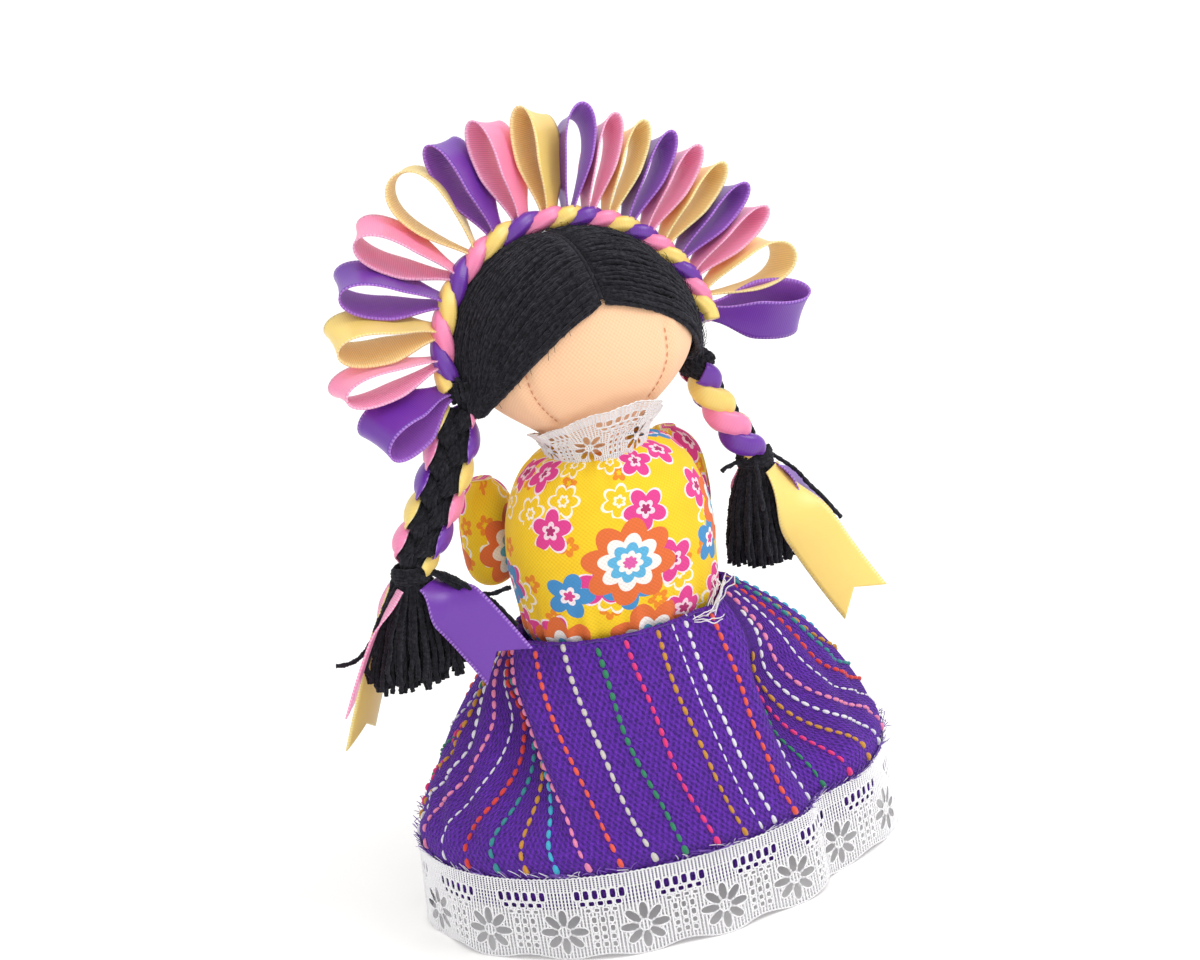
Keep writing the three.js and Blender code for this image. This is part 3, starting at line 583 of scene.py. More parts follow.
@dataclass(frozen=True)
class SatinRibbon:
    """Single-face polyester satin ribbon: glossy floats on the face, fine cross ribs on the back."""

    name: str
    face: str
    # back: painted lighter than the face, a painted glow standing in for light that shines through the thin
    # ribbon
    back: str
    # edge: the picot selvedge's colour, lightened as a painted highlight along the real edge; also the
    # sheen's tint
    edge: str
    shadow: str = "#2A1030"
    rib: float = 0.38
    picot: float = 0.62
    half_width: float = 4.75

    def side(self, shiny: bool) -> Material:
        """Builds the finish of one side.

        Args:
            shiny: The satin face, or else the ribbed back.

        Returns:
            The material.
        """
        material, add, shader = new_material(self.name + (" face" if shiny else " back"))
        ribbed = 0.02 if shiny else 0.1
        place = add("ShaderNodeUVMap", uv_map="cloth")
        axes = add("ShaderNodeSeparateXYZ", {0: place}).outputs
        waves = []
        for pitch in (self.rib, self.picot):
            turn = add("ShaderNodeMath", {0: axes[1], 1: TAU / pitch}, operation="MULTIPLY")
            waves.append(add("ShaderNodeMath", {0: turn}, operation="SINE"))
        ribs, knots = waves
        across = add("ShaderNodeMath", {0: axes[0]}, operation="ABSOLUTE")
        selvedge = {0: across, 1: self.half_width - 0.55, 2: self.half_width - 0.3, 3: 0.0, 4: 1.0}
        rim = add("ShaderNodeMapRange", selvedge)
        beads = add("ShaderNodeMath", {0: knots, 1: 0.4, 2: 0.4}, operation="MULTIPLY_ADD")
        lit = add("ShaderNodeMath", {0: rim, 1: beads}, operation="MULTIPLY")
        grain = add("ShaderNodeMath", {0: ribs, 1: -ribbed, 2: ribbed}, operation="MULTIPLY_ADD")
        tones = {0: grain, 6: linear(self.face if shiny else self.back), 7: linear(self.shadow)}
        base = add("ShaderNodeMix", tones, data_type="RGBA")
        # the real picot selvedge, painted pale as a highlight
        tint = add("ShaderNodeMix", {0: lit, 6: base, 7: linear(self.edge)}, data_type="RGBA")
        relief = add("ShaderNodeMath", {0: rim, 1: 2.0, 2: 0.25 if shiny else 1.0}, operation="MULTIPLY_ADD")
        height = add("ShaderNodeMath", {0: relief, 1: ribs}, operation="MULTIPLY")
        bump = add("ShaderNodeBump", {"Strength": 0.3, "Distance": 0.00008, "Height": height})
        gloss = {"Roughness": 0.32 if shiny else 0.55, "Specular IOR Level": 0.55 if shiny else 0.35}
        sheen = {"Sheen Weight": 0.2, "Sheen Tint": linear(self.edge)}
        fill(shader, {"Base Color": tint, "Normal": bump, **gloss, **sheen, **THIN_CLOTH})
        return material


@dataclass(frozen=True)
class AcrylicYarn:
    """Soft black acrylic yarn: matt with a grey halo of fine fibres."""

    name: str = "acrylic yarn"
    colour: str = "#121216"
    lift: str = "#323138"
    halo: str = "#8C8C98"

    def material(self) -> Material:
        """Builds the finish."""
        material, add, shader = new_material(self.name)
        place = add("ShaderNodeTexCoord").outputs["Object"]
        fibre = add("ShaderNodeTexNoise", {"Vector": place, "Scale": 1400.0, "Detail": 3.0, "Roughness": 0.7})
        share = add("ShaderNodeMapRange", {0: fibre, 1: 0.42, 2: 0.72, 3: 0.0, 4: 1.0})
        tones = {0: share, 6: linear(self.colour), 7: linear(self.lift)}
        tint = add("ShaderNodeMix", tones, data_type="RGBA")
        bump = add("ShaderNodeBump", {"Strength": 0.7, "Distance": 0.00025, "Height": fibre})
        sheen = {"Sheen Weight": 0.3, "Sheen Roughness": 0.6, "Sheen Tint": linear(self.halo)}
        matt = {"Roughness": 0.95, "Specular IOR Level": 0.2}
        fill(shader, {"Base Color": tint, "Normal": bump, **matt, **sheen})
        return material


@dataclass(frozen=True)
class DyedThread:
    """Cotton thread that takes its colour from the thread itself: matt, with a slight fibre shade."""

    name: str
    roughness: float = 0.75
    shade: str = "#3A2A40"

    def material(self) -> Material:
        """Builds the finish."""
        material, add, shader = new_material(self.name)
        dye = add("ShaderNodeAttribute", attribute_name="dye").outputs["Color"]
        place = add("ShaderNodeTexCoord").outputs["Object"]
        fibre = add("ShaderNodeTexNoise", {"Vector": place, "Scale": 2600.0, "Detail": 1.0})
        share = add("ShaderNodeMath", {0: fibre, 1: 0.35}, operation="MULTIPLY")
        tint = add("ShaderNodeMix", {0: share, 6: dye, 7: linear(self.shade)}, data_type="RGBA")
        bump = add("ShaderNodeBump", {"Strength": 0.3, "Distance": 0.0001, "Height": fibre})
        fill(shader, {"Base Color": tint, "Normal": bump, "Roughness": self.roughness, "Sheen Weight": 0.2})
        return material


@dataclass(frozen=True)
class LaceThread:
    """Bleached polyester lace thread: bright white, faintly glossy."""

    name: str = "lace thread"
    colour: str = "#FFFFFF"
    shade: str = "#F5F3F9"

    def material(self) -> Material:
        """Builds the finish."""
        material, add, shader = new_material(self.name)
        place = add("ShaderNodeTexCoord").outputs["Object"]
        fibre = add("ShaderNodeTexNoise", {"Vector": place, "Scale": 900.0, "Detail": 1.0})
        tones = {0: fibre, 6: linear(self.colour), 7: linear(self.shade)}
        tint = add("ShaderNodeMix", tones, data_type="RGBA")
        fill(shader, {"Base Color": tint, "Roughness": 0.55, **THIN_CLOTH})
        return material


class Satin(Enum):
    """The three ribbon colours."""

    # each back colour is painted lighter than its face: a painted glow for light shining through the ribbon
    PURPLE = SatinRibbon("purple satin", "#6C2EA6", "#A05FC4", "#B98CE6")
    PINK = SatinRibbon("pink satin", "#FF8DB8", "#FFA8CA", "#FFC6DE")
    GOLD = SatinRibbon("gold satin", "#FDD978", "#FFDC98", "#FFEDB4")

    @property
    def label(self) -> str:
        """Name used for the pieces."""
        return self.name.lower()

    @property
    def slot(self) -> str:
        """Material slot of the record."""
        return "satin_" + self.label


class Wardrobe:
    """All finishes of the doll, built once."""

    def __init__(self) -> None:
        """Builds the materials."""
        self.skin = PlainCotton("peach cotton", "#FBCDA5", "#E7A679").material()
        self.print = PrintedCotton().material()
        self.handloom = Handloom().material()
        self.yarn = AcrylicYarn().material()
        self.lace = LaceThread().material()
        self.stripe = DyedThread("stripe thread").material()
        self.sewing = DyedThread("sewing thread", 0.6).material()
        self.satin = {colour: (colour.value.side(True), colour.value.side(False)) for colour in Satin}

    def lay_yarns(
        self, name: str, lines: list[Array], radius: float, twist: float, body: str, *nodes: str
    ) -> None:
        """Makes black yarns and sets them on a body.

        Args:
            name: Piece name.
            lines: Paths of the yarns in mm.
            radius: Half the yarn's width in mm.
            twist: Turns per mm of the yarn's flat section.
            body: Body that they move with.
            nodes: Solids that they stand for.
        """
        yarns = THREADS.make(name, lines, self.yarn, radius, flatness=0.8, twist=twist)
        settle(yarns, body, "yarn_black", *nodes)


def ribbon(name: str, path: Array, across: Array, widths: Array, sides: tuple, notch: float = 0.0) -> Object:
    """Makes a satin ribbon along a path, face side toward the cross product of path and across.

    Args:
        name: Piece name.
        path: Middle line in mm.
        across: Width direction at each point.
        widths: Ribbon width at each point in mm.
        sides: Face and back materials.
        notch: Depth of the V cut into the last end, in mm.

    Returns:
        The linked object.
    """
    thickness = 0.3
    columns = 11
    tangent = along(path)
    across = square_to(across, tangent)
    face = np.cross(tangent, across)
    shares = np.linspace(-1, 1, columns)
    run = lengths(path)
    drawn_back = 3 * notch
    ease = np.clip((run - (run[-1] - drawn_back)) / max(drawn_back, 1e-6), 0, 1)
    grid = np.empty((len(path), columns, 3))
    uv = np.empty((len(path), columns, 2))
    for c, share in enumerate(shares):
        back = notch * (1 - abs(share)) * ease
        centre = sample(path, run, run - back)
        cup = 0.04 * widths * (share * share - 0.4)
        grid[:, c] = centre + across * (share * widths / 2)[:, None] - face * cup[:, None]
        uv[:, c, 0] = share * SatinRibbon.half_width
        uv[:, c, 1] = run - back
    upper = grid + face[:, None] * thickness / 2
    lower = grid - face[:, None] * thickness / 2
    rows = len(path)
    count = rows * columns
    points = np.concatenate([upper.reshape(-1, 3), lower.reshape(-1, 3)])
    flat_uv = uv.reshape(-1, 2)
    faces = []
    marks = []
    for r in range(rows - 1):
        for c in range(columns - 1):
            a = r * columns + c
            quad = (a, a + columns, a + columns + 1, a + 1)
            faces.append(quad[::-1])
            faces.append(tuple(count + i for i in quad))
            marks.extend((0, 1))
    rim = [r * columns for r in range(rows)]
    rim += [(rows - 1) * columns + c for c in range(1, columns)]
    rim += [r * columns + columns - 1 for r in range(rows - 2, -1, -1)]
    rim += [c for c in range(columns - 2, 0, -1)]
    for i, a in enumerate(rim):
        b = rim[(i + 1) % len(rim)]
        faces.append((a, b, count + b, count + a))
        marks.append(0)
    piece = mesh_object(name, points, faces, list(sides))
    piece.data.polygons.foreach_set("material_index", np.asarray(marks, np.int32))
    layer = piece.data.uv_layers.new(name="cloth")
    owner = np.empty(len(piece.data.loops), np.int32)
    piece.data.loops.foreach_get("vertex_index", owner)
    layer.data.foreach_set("uv", flat_uv[owner % count].ravel())
    return piece


@dataclass
class Head:
    """The stuffed head: peach cotton drawn in to the neck, with two dart seams on the face."""

    wardrobe: Wardrobe
    half_width: float = 20.3
    half_depth: float = 17.6
    up: float = 19.5
    down: float = 15.6
    middle_z: float = 98.6
    neck: float = 7.95
    neckline_z: float = 81.0
    dart_depth: float = 0.5
    stitch_pitch: float = 1.4
    stitch_colour: str = "#DB8F62"
    cloth_round: float = 19.0
    cloth_rise: float = 17.5
    tucks: int = 26
    tuck_depth: float = 0.02
    tuck_z: float = 84.5
    tuck_height: float = 2.6
    darts: tuple = (
        ((-14.8, -12.0, 100.5), (-9.6, -9.6, 88.4)),
        ((11.0, -14.6, 103.0), (6.2, -11.8, 89.2)),
    )

    def point(self, directions: Array, lift: Array | float = 0.0) -> Array:
        """Points on the head.

        Args:
            directions: Unit directions from its middle.
            lift: Distance outside the cloth in mm.

        Returns:
            Points in mm.
        """
        x, y, z = np.moveaxis(np.asarray(directions, float), -1, 0)
        level = np.maximum(np.hypot(x, y), 1e-9)
        spread = np.where(z >= 0, level, self.jaw(np.minimum(z, 0))) / level
        height = np.where(z >= 0, self.up, self.down)
        return joined(
            (self.half_width + lift) * x * spread,
            (self.half_depth + lift) * y * spread,
            self.middle_z + (height + lift) * z,
        )

    def jaw(self, drop: Array) -> Array:
        """Share of the full width at a share of the way from the head's middle down to the neck."""
        share = self.neck / self.half_width
        return share + (1 - share) * np.maximum(0, 1 - drop ** 2) ** 1.5

    def toward(self, points: Array) -> Array:
        """Unit directions of points seen from the head's middle."""
        sizes = np.array([self.half_width, self.half_depth, self.up])
        return unit((np.asarray(points) - (0, 0, self.middle_z)) / sizes)

    def seam(self, dart: tuple, count: int, lift: float) -> Array:
        """Points along a dart seam on the cloth."""
        line = np.linspace(dart[0], dart[1], count)
        return self.point(self.toward(line), lift)

    def build(self) -> None:
        """Builds the head, its seams and the neck inside the collar."""
        columns = 150
        pitch = np.radians(np.linspace(-84, 88, 84))[:, None]
        angle = np.linspace(0, TAU, columns + 1)[None, :] + math.pi / 2
        level = np.cos(pitch)
        directions = joined(level * np.cos(angle), level * np.sin(angle), np.sin(pitch))
        grid = self.point(directions)[:, :-1]
        for dart in self.darts:
            line = self.seam(dart, 40, 0)
            gap = np.min(np.linalg.norm(grid[:, :, None] - line[None, None], axis=-1), axis=-1)
            pull = self.dart_depth * np.exp(-((gap / 0.8) ** 2)) - 0.22 * np.exp(-((gap - 2.2) ** 2) / 2)
            grid -= unit(grid - (0, 0, self.middle_z)) * pull[..., None]
        tuck = np.exp(-((grid[..., 2] - self.tuck_z) / self.tuck_height) ** 2)
        drawn_in = tuck * (1 + np.cos(self.tucks * angle[:, :-1]))
        grid *= 1 - self.tuck_depth * drawn_in[..., None] * (1, 1, 0)
        uv = joined((angle - 1.5 * math.pi) * self.cloth_round, pitch * self.cloth_rise)
        head = grid_object("head_cotton", grid, uv, self.wardrobe.skin, wrap=True, caps=True)
        settle(head, "head", "cotton_skin", "head_cover", "head_stuffing")
        lines = []
        for dart in self.darts:
            seam = self.seam(dart, 200, -0.18)
            run = lengths(seam)
            for start in np.arange(0.4, run[-1] - 1, self.stitch_pitch):
                lines.append(sample(seam, run, np.linspace(start, start + 0.62 * self.stitch_pitch, 5)))
        colours = [self.stitch_colour] * len(lines)
        stitches = THREADS.make("dart_stitches", lines, self.wardrobe.sewing, 0.1, taper=0.5, colours=colours)
        settle(stitches, "head", "cotton_skin")
        self.build_neck()

    def build_neck(self) -> None:
        """Builds the gathered neck that joins head and body."""
        heights = np.array([76.6, 77.5, 79.0, 80.5, 82.0, 84.0, 86.5, 89.0, 91.3, 92.6])
        radii = np.array([4.6, 5.8, 6.0, 5.9, 5.8, 6.2, 6.75, 6.2, 4.4, 1.6])
        angle = np.linspace(0, TAU, 49)
        ripple = 1 + 0.025 * np.cos(12 * angle[:-1])
        grid = joined(
            radii[:, None] * np.cos(angle[:-1]) * ripple,
            radii[:, None] * np.sin(angle[:-1]) * ripple,
            heights[:, None],
        )
        uv = joined(angle[None] * 6, heights[:, None])
        neck = grid_object("neck_cotton", grid, uv, self.wardrobe.skin, wrap=True, caps=True)
        settle(neck, "neck", "cotton_skin", "neck_stub")


class Side(Enum):
    """The doll's own right and left."""

    RIGHT = -1
    LEFT = 1

    @property
    def label(self) -> str:
        """Name used for the pieces."""
        return self.name.lower()


@dataclass
class Hair:
    """Yarn laid from the parting to each ear over the forehead, crown and nape."""

    wardrobe: Wardrobe
    head: Head
    front: float = 56.0
    back: float = -112.0
    gap: float = 0.9
    yarn: float = 0.47
    twist: float = 0.22
    strands: int = 82
    layers: int = 2
    fibres: int = 1500
    crown_swell: float = 1.25
    tuft: int = 26
    tuft_top: float = 99.5
    puff: float = 2.3

    def ear(self, side: Side, share: float) -> Array:
        """Direction of the ear end of a yarn, by its share from front to back."""
        dip = 0.3 if side is Side.RIGHT else 0.4
        back = 0.0 if side is Side.RIGHT else 0.32
        return unit(joined(side.value * 0.97, back + mix(-0.3, 0.16, share), -dip))

    def lock(self, side: Side, share: float, lift: Array, count: int) -> Array:
        """One yarn's path from the parting to the ear.

        Args:
            side: Side of the head.
            share: Place from the forehead, 0, to the nape, 1.
            lift: Height over the cloth at each point in mm.
            count: Points on the path.

        Returns:
            Points in mm.
        """
        pitch = math.radians(mix(self.front, self.back, share))
        offset = side.value * self.gap / 2 / self.head.half_width
        start = unit(np.array([offset, -math.sin(pitch), math.cos(pitch)]))
        end = self.ear(side, share)
        angle = math.acos(np.clip(start @ end, -1, 1))
        t = np.linspace(0, 1, count)[:, None]
        arc = (np.sin((1 - t) * angle) * start + np.sin(t * angle) * end) / math.sin(angle)
        return self.head.point(arc, lift)

    def build(self) -> None:
        """Builds both halves of the hair and the thread in the parting."""
        rng = default_rng(SEED)
        count = 30
        t = np.linspace(0, 1, count)
        swell = self.puff * smooth(t, 0.82, 1)
        root = smooth(t, 0, 0.1)
        sway = np.array([0, 14.0, 8.0]) * (root * (1 - t))[:, None]
        for side in Side:
            lines = []
            for layer in range(self.layers):
                height = FIT + self.yarn * (0.6 + 1.05 * layer * root)
                for i in range(self.strands):
                    share = (i + 0.5 * layer + rng.normal(0, 0.25)) / (self.strands - 1)
                    rise = height + swell * rng.uniform(0.5, 1.1)
                    rise = rise + 0.16 * wander(count, rng, 6) * root
                    drift = 0.02 * wander(count, rng)
                    line = self.lock(side, np.clip(share, -0.01, 1.01), rise, count)
                    lines.append(self.meet_crown(line + drift[:, None] * sway))
            name = f"hair_yarns_{side.label}"
            self.wardrobe.lay_yarns(name, lines, self.yarn, self.twist, "head", f"hair_{side.label}")
            self.build_fuzz(side, lines, rng)
            self.build_tuft(side, rng)
            self.build_cap(side)
        pitches = np.radians(np.linspace(self.front - 2, self.back + 3, 60))
        arc = self.head.point(joined(0, -np.sin(pitches), np.cos(pitches)), 0.62)
        thread = THREADS.make(
            "parting_stitch", [self.meet_crown(arc)], self.wardrobe.yarn, 0.5, flatness=0.9, twist=0.3
        )
        settle(thread, "head", "yarn_black", "parting_thread")

    def build_tuft(self, side: Side, rng: Generator) -> None:
        """Gathers the ends of the yarns at the ear, between the crown's end and the plait.

        Args:
            side: Side of the head.
            rng: Source of the scatter.
        """
        middle, end_z = ((-23.2, -0.6), 95.2) if side is Side.RIGHT else ((22.0, 3.6), 94.2)
        count = 12
        t = np.linspace(0, 1, count)
        lines = []
        for i in range(self.tuft):
            far = math.sqrt((i + 0.5) / self.tuft)
            angle = i * GOLDEN_ANGLE
            spread = far * mix(2.6, 1.7, t) + 0.5 * np.sin(math.pi * t)
            top = self.tuft_top + rng.uniform(-0.8, 0.8)
            x = middle[0] + spread * math.cos(angle) * 0.8 + 0.12 * wander(count, rng)
            y = middle[1] + spread * math.sin(angle) * 1.2 + 0.12 * wander(count, rng)
            lines.append(joined(x, y, mix(top, end_z, t)))
        self.wardrobe.lay_yarns(f"hair_tuft_{side.label}", lines, self.yarn, self.twist, "head")

    def meet_crown(self, line: Array) -> Array:
        """Raises a yarn where it passes under the crown, so that it fills the room below the cord."""
        from_middle = line - (0, 0, self.head.middle_z)
        ahead = from_middle @ CROWN_BACK
        return line + unit(from_middle) * (self.crown_swell * np.exp(-((ahead / 3.6) ** 2)))[:, None]

    def build_fuzz(self, side: Side, yarns: list[Array], rng: Generator) -> None:
        """Raises the halo of loose fibres on the yarns.

        Args:
            side: Side of the head.
            yarns: Paths of the yarns.
            rng: Source of the scatter.
        """
        fibres = []
        t = np.linspace(0, 1, 6)[:, None]
        for _ in range(self.fibres):
            yarn = yarns[int(rng.integers(len(yarns)))]
            i = int(rng.integers(1, len(yarn) - 3))
            out = unit(yarn[i] - (0, 0, self.head.middle_z))
            run = unit(yarn[i + 2] - yarn[i]) * rng.choice([-1, 1])
            aside = np.cross(out, run) * rng.normal(0, 0.9)
            bow = out * rng.uniform(0.1, 0.7) * np.sin(math.pi * t * rng.uniform(0.5, 1.0))
            reach = run * rng.uniform(1.2, 3.2)
            fibres.append(yarn[i] + out * self.yarn * 0.6 + reach * t + aside * t * t + bow)
        fuzz = THREADS.make(f"hair_fuzz_{side.label}", fibres, self.wardrobe.yarn, 0.045, 3)
        settle(fuzz, "head", "yarn_black")

    def build_cap(self, side: Side) -> None:
        """Builds the dark bed of yarn under the strands, so that no cloth shows between them."""
        shares = np.linspace(0.012, 0.988, 40)
        count = 24
        lift = np.full(count, FIT - 0.1)
        grid = np.stack([self.lock(side, share, lift, count) for share in shares])
        if side is Side.RIGHT:
            grid = grid[::-1]
        uv = np.zeros((len(shares), count, 2))
        cap = grid_object(f"hair_bed_{side.label}", grid, uv, self.wardrobe.yarn)
        thicken(cap, 0.25, 1.0)
        settle(cap, "head", "yarn_black")


@dataclass(frozen=True)
class LoopKind:
    """Loops of one kind on the crown.

    Args:
        count: Loops of this kind, one after the other.
        twist: Turn of the ribbon's width from the crown's back toward its run, in degrees.
        twist_by: Change of the twist from loop to loop.
        lean: Sideways lean along the crown, in degrees.
        lean_by: Change of the lean from loop to loop.
        opening: How far the loop stands open, in mm.
        length: Reach from the band, in mm.
    """

    count: int
    twist: float
    twist_by: float
    lean: float
    lean_by: float
    opening: float
    length: float


@dataclass
class Crown:
    """Three satin ribbons laid up into a cord over the head, with a loop left standing at each turn."""

    wardrobe: Wardrobe
    head: Head
    band: float = 2.0
    hair: float = 1.7
    first: float = 183.0
    wide_step: float = 12.3
    wide_count: int = 8
    close_step: float = 8.4
    ribbon_width: float = 9.5
    narrow: float = 3.8
    ply_reach: float = 0.9
    ply_radius: float = 1.16
    kinds: tuple[LoopKind, ...] = (
        LoopKind(1, -46, 0, 17, 0, 6.0, 14.4),
        LoopKind(1, -25, 0, 13, 0, 4.6, 17.4),
        LoopKind(3, -40, 0, 13, -2, 5.6, 17.5),
        LoopKind(1, -31, 0, -2, 0, 8.0, 17.6),
        LoopKind(3, -49, 2, -4, 0.5, 4.1, 17.6),
        LoopKind(1, -1, 0, -9.5, 0, 4.6, 17.6),
        LoopKind(7, 5, 2.5, -8, 3.3, 3.3, 16.5),
        LoopKind(1, 21, 0, 3, 0, 6.4, 16.5),
        LoopKind(1, -30, 0, -13, 0, 5.2, 16.5),
    )

    def spoke(self, angle: Array) -> Array:
        """Directions of the crown's spokes, in degrees from the doll's left."""
        a = np.radians(angle)
        return joined(np.cos(a), np.sin(a) * math.sin(CROWN_LEAN), np.sin(a) * math.cos(CROWN_LEAN))

    def reach(self, angle: Array) -> Array:
        """Distance from the head's middle to the band's middle."""
        lift = FIT * 2 + self.hair + self.band
        x, y, z = np.moveaxis(self.spoke(angle), -1, 0)
        height = np.where(z >= 0, self.head.up, self.head.down)
        return 1 / np.sqrt(
            (x / (self.head.half_width + lift)) ** 2
            + (y / (self.head.half_depth + lift)) ** 2
            + (z / (height + lift)) ** 2
        )

    def loop_angle(self, index: int) -> float:
        """Angle of a loop's spoke, in degrees."""
        wide = min(index, self.wide_count)
        return self.first - wide * self.wide_step - (index - wide) * self.close_step

    def build(self) -> None:
        """Builds the cord and its loops."""
        self.build_cord()
        index = 0
        for kind in self.kinds:
            for i in range(kind.count):
                self.build_loop(index, kind, kind.twist + i * kind.twist_by, kind.lean + i * kind.lean_by)
                index += 1

    def build_cord(self) -> None:
        """Lays the three ribbons round each other."""
        angles = np.linspace(-3, 183, 260)
        stops = np.array([self.loop_angle(i) for i in range(sum(k.count for k in self.kinds))])
        turns = np.interp(angles, stops[::-1], np.arange(len(stops))[::-1])
        middle = self.spoke(angles) * self.reach(angles)[:, None] + (0, 0, self.head.middle_z)
        tangent = along(middle)
        front = np.broadcast_to(-CROWN_BACK, middle.shape)
        out = np.cross(front, tangent)
        for k, colour in enumerate(Satin):
            phase = TAU * (turns - k) / 3
            ply = middle + self.ply_reach * (np.cos(phase)[:, None] * out + np.sin(phase)[:, None] * front)
            piece = self.cord_ply(f"crown_cord_{colour.label}", ply, 1 + 0.4 * np.sin(phase), colour)
            settle(piece, "head", colour.slot, *(["crown_band"] if colour is Satin.GOLD else []))

    def cord_ply(self, name: str, path: Array, size: Array, colour: Satin) -> Object:
        """One bunched ribbon of the cord, with folds running along it.

        Args:
            name: Piece name.
            path: Middle line in mm.
            size: Share of the full thickness at each point.
            colour: Ribbon colour.

        Returns:
            The linked object.
        """
        tangent = along(path)
        u = square_to(np.broadcast_to(CROWN_BACK, path.shape), tangent)
        v = np.cross(tangent, u)
        columns = 22
        angle = np.linspace(0, TAU, columns + 1)
        fold = 1 + 0.06 * np.cos(5 * angle) + 0.04 * np.cos(9 * angle + 1)
        ring = self.ply_radius * fold * size[:, None]
        grid = away(path[:, None], u[:, None], ring * np.cos(angle), v[:, None], ring * np.sin(angle))[:, :-1]
        uv = joined((angle / TAU)[None] * 5 - 2.5, lengths(path)[:, None])
        return grid_object(name, grid, uv, self.wardrobe.satin[colour][0], wrap=True, caps=True)

    def build_loop(self, index: int, kind: LoopKind, twist: float, lean: float) -> None:
        """Builds one standing loop, satin side out.

        Args:
            index: Place from the doll's right ear.
            kind: Its form.
            twist: Its own twist in degrees.
            lean: Its own lean in degrees.
        """
        angle = self.loop_angle(index)
        root = self.spoke(np.array(angle))
        out = self.spoke(np.array(angle + lean))
        run = self.spoke(np.array(angle + lean + 90))
        turn = math.radians(twist)
        across = CROWN_BACK * math.cos(turn) + run * math.sin(turn)
        side = np.cross(out, across)
        sunk = self.band * 0.45 + FIT
        base = root * (self.reach(np.array(angle)) + self.band * 0.55) + (0, 0, self.head.middle_z)
        t = np.linspace(-1, 1, 61)
        rise = (kind.length - 0.3 + sunk) * np.cos(t * math.pi / 2)
        swing = (kind.opening / 2) * np.sin(math.pi * t) + 0.45 * np.sign(t) * t * t
        path = base + rise[:, None] * out + swing[:, None] * side
        widths = mix(self.ribbon_width, self.narrow, smooth(np.abs(t), 0.66, 0.98))
        colour = list(Satin)[index % len(Satin)]
        number = f"{index + 1:02d}"
        across = np.broadcast_to(across, path.shape)
        piece = ribbon(f"ribbon_loop_{number}", path, across, widths, self.wardrobe.satin[colour][::-1])
        settle(piece, "head", colour.slot, f"crown_loop_{number}")


@dataclass
class Tail:
    """A ribbon tail below a tie.

    Args:
        colour: Ribbon colour.
        run: From the tie to its end, in mm.
        across: Width direction at its end.
        arch: Rise of its middle in mm.
    """

    colour: Satin
    run: tuple[float, float, float]
    across: tuple[float, float, float]
    arch: float


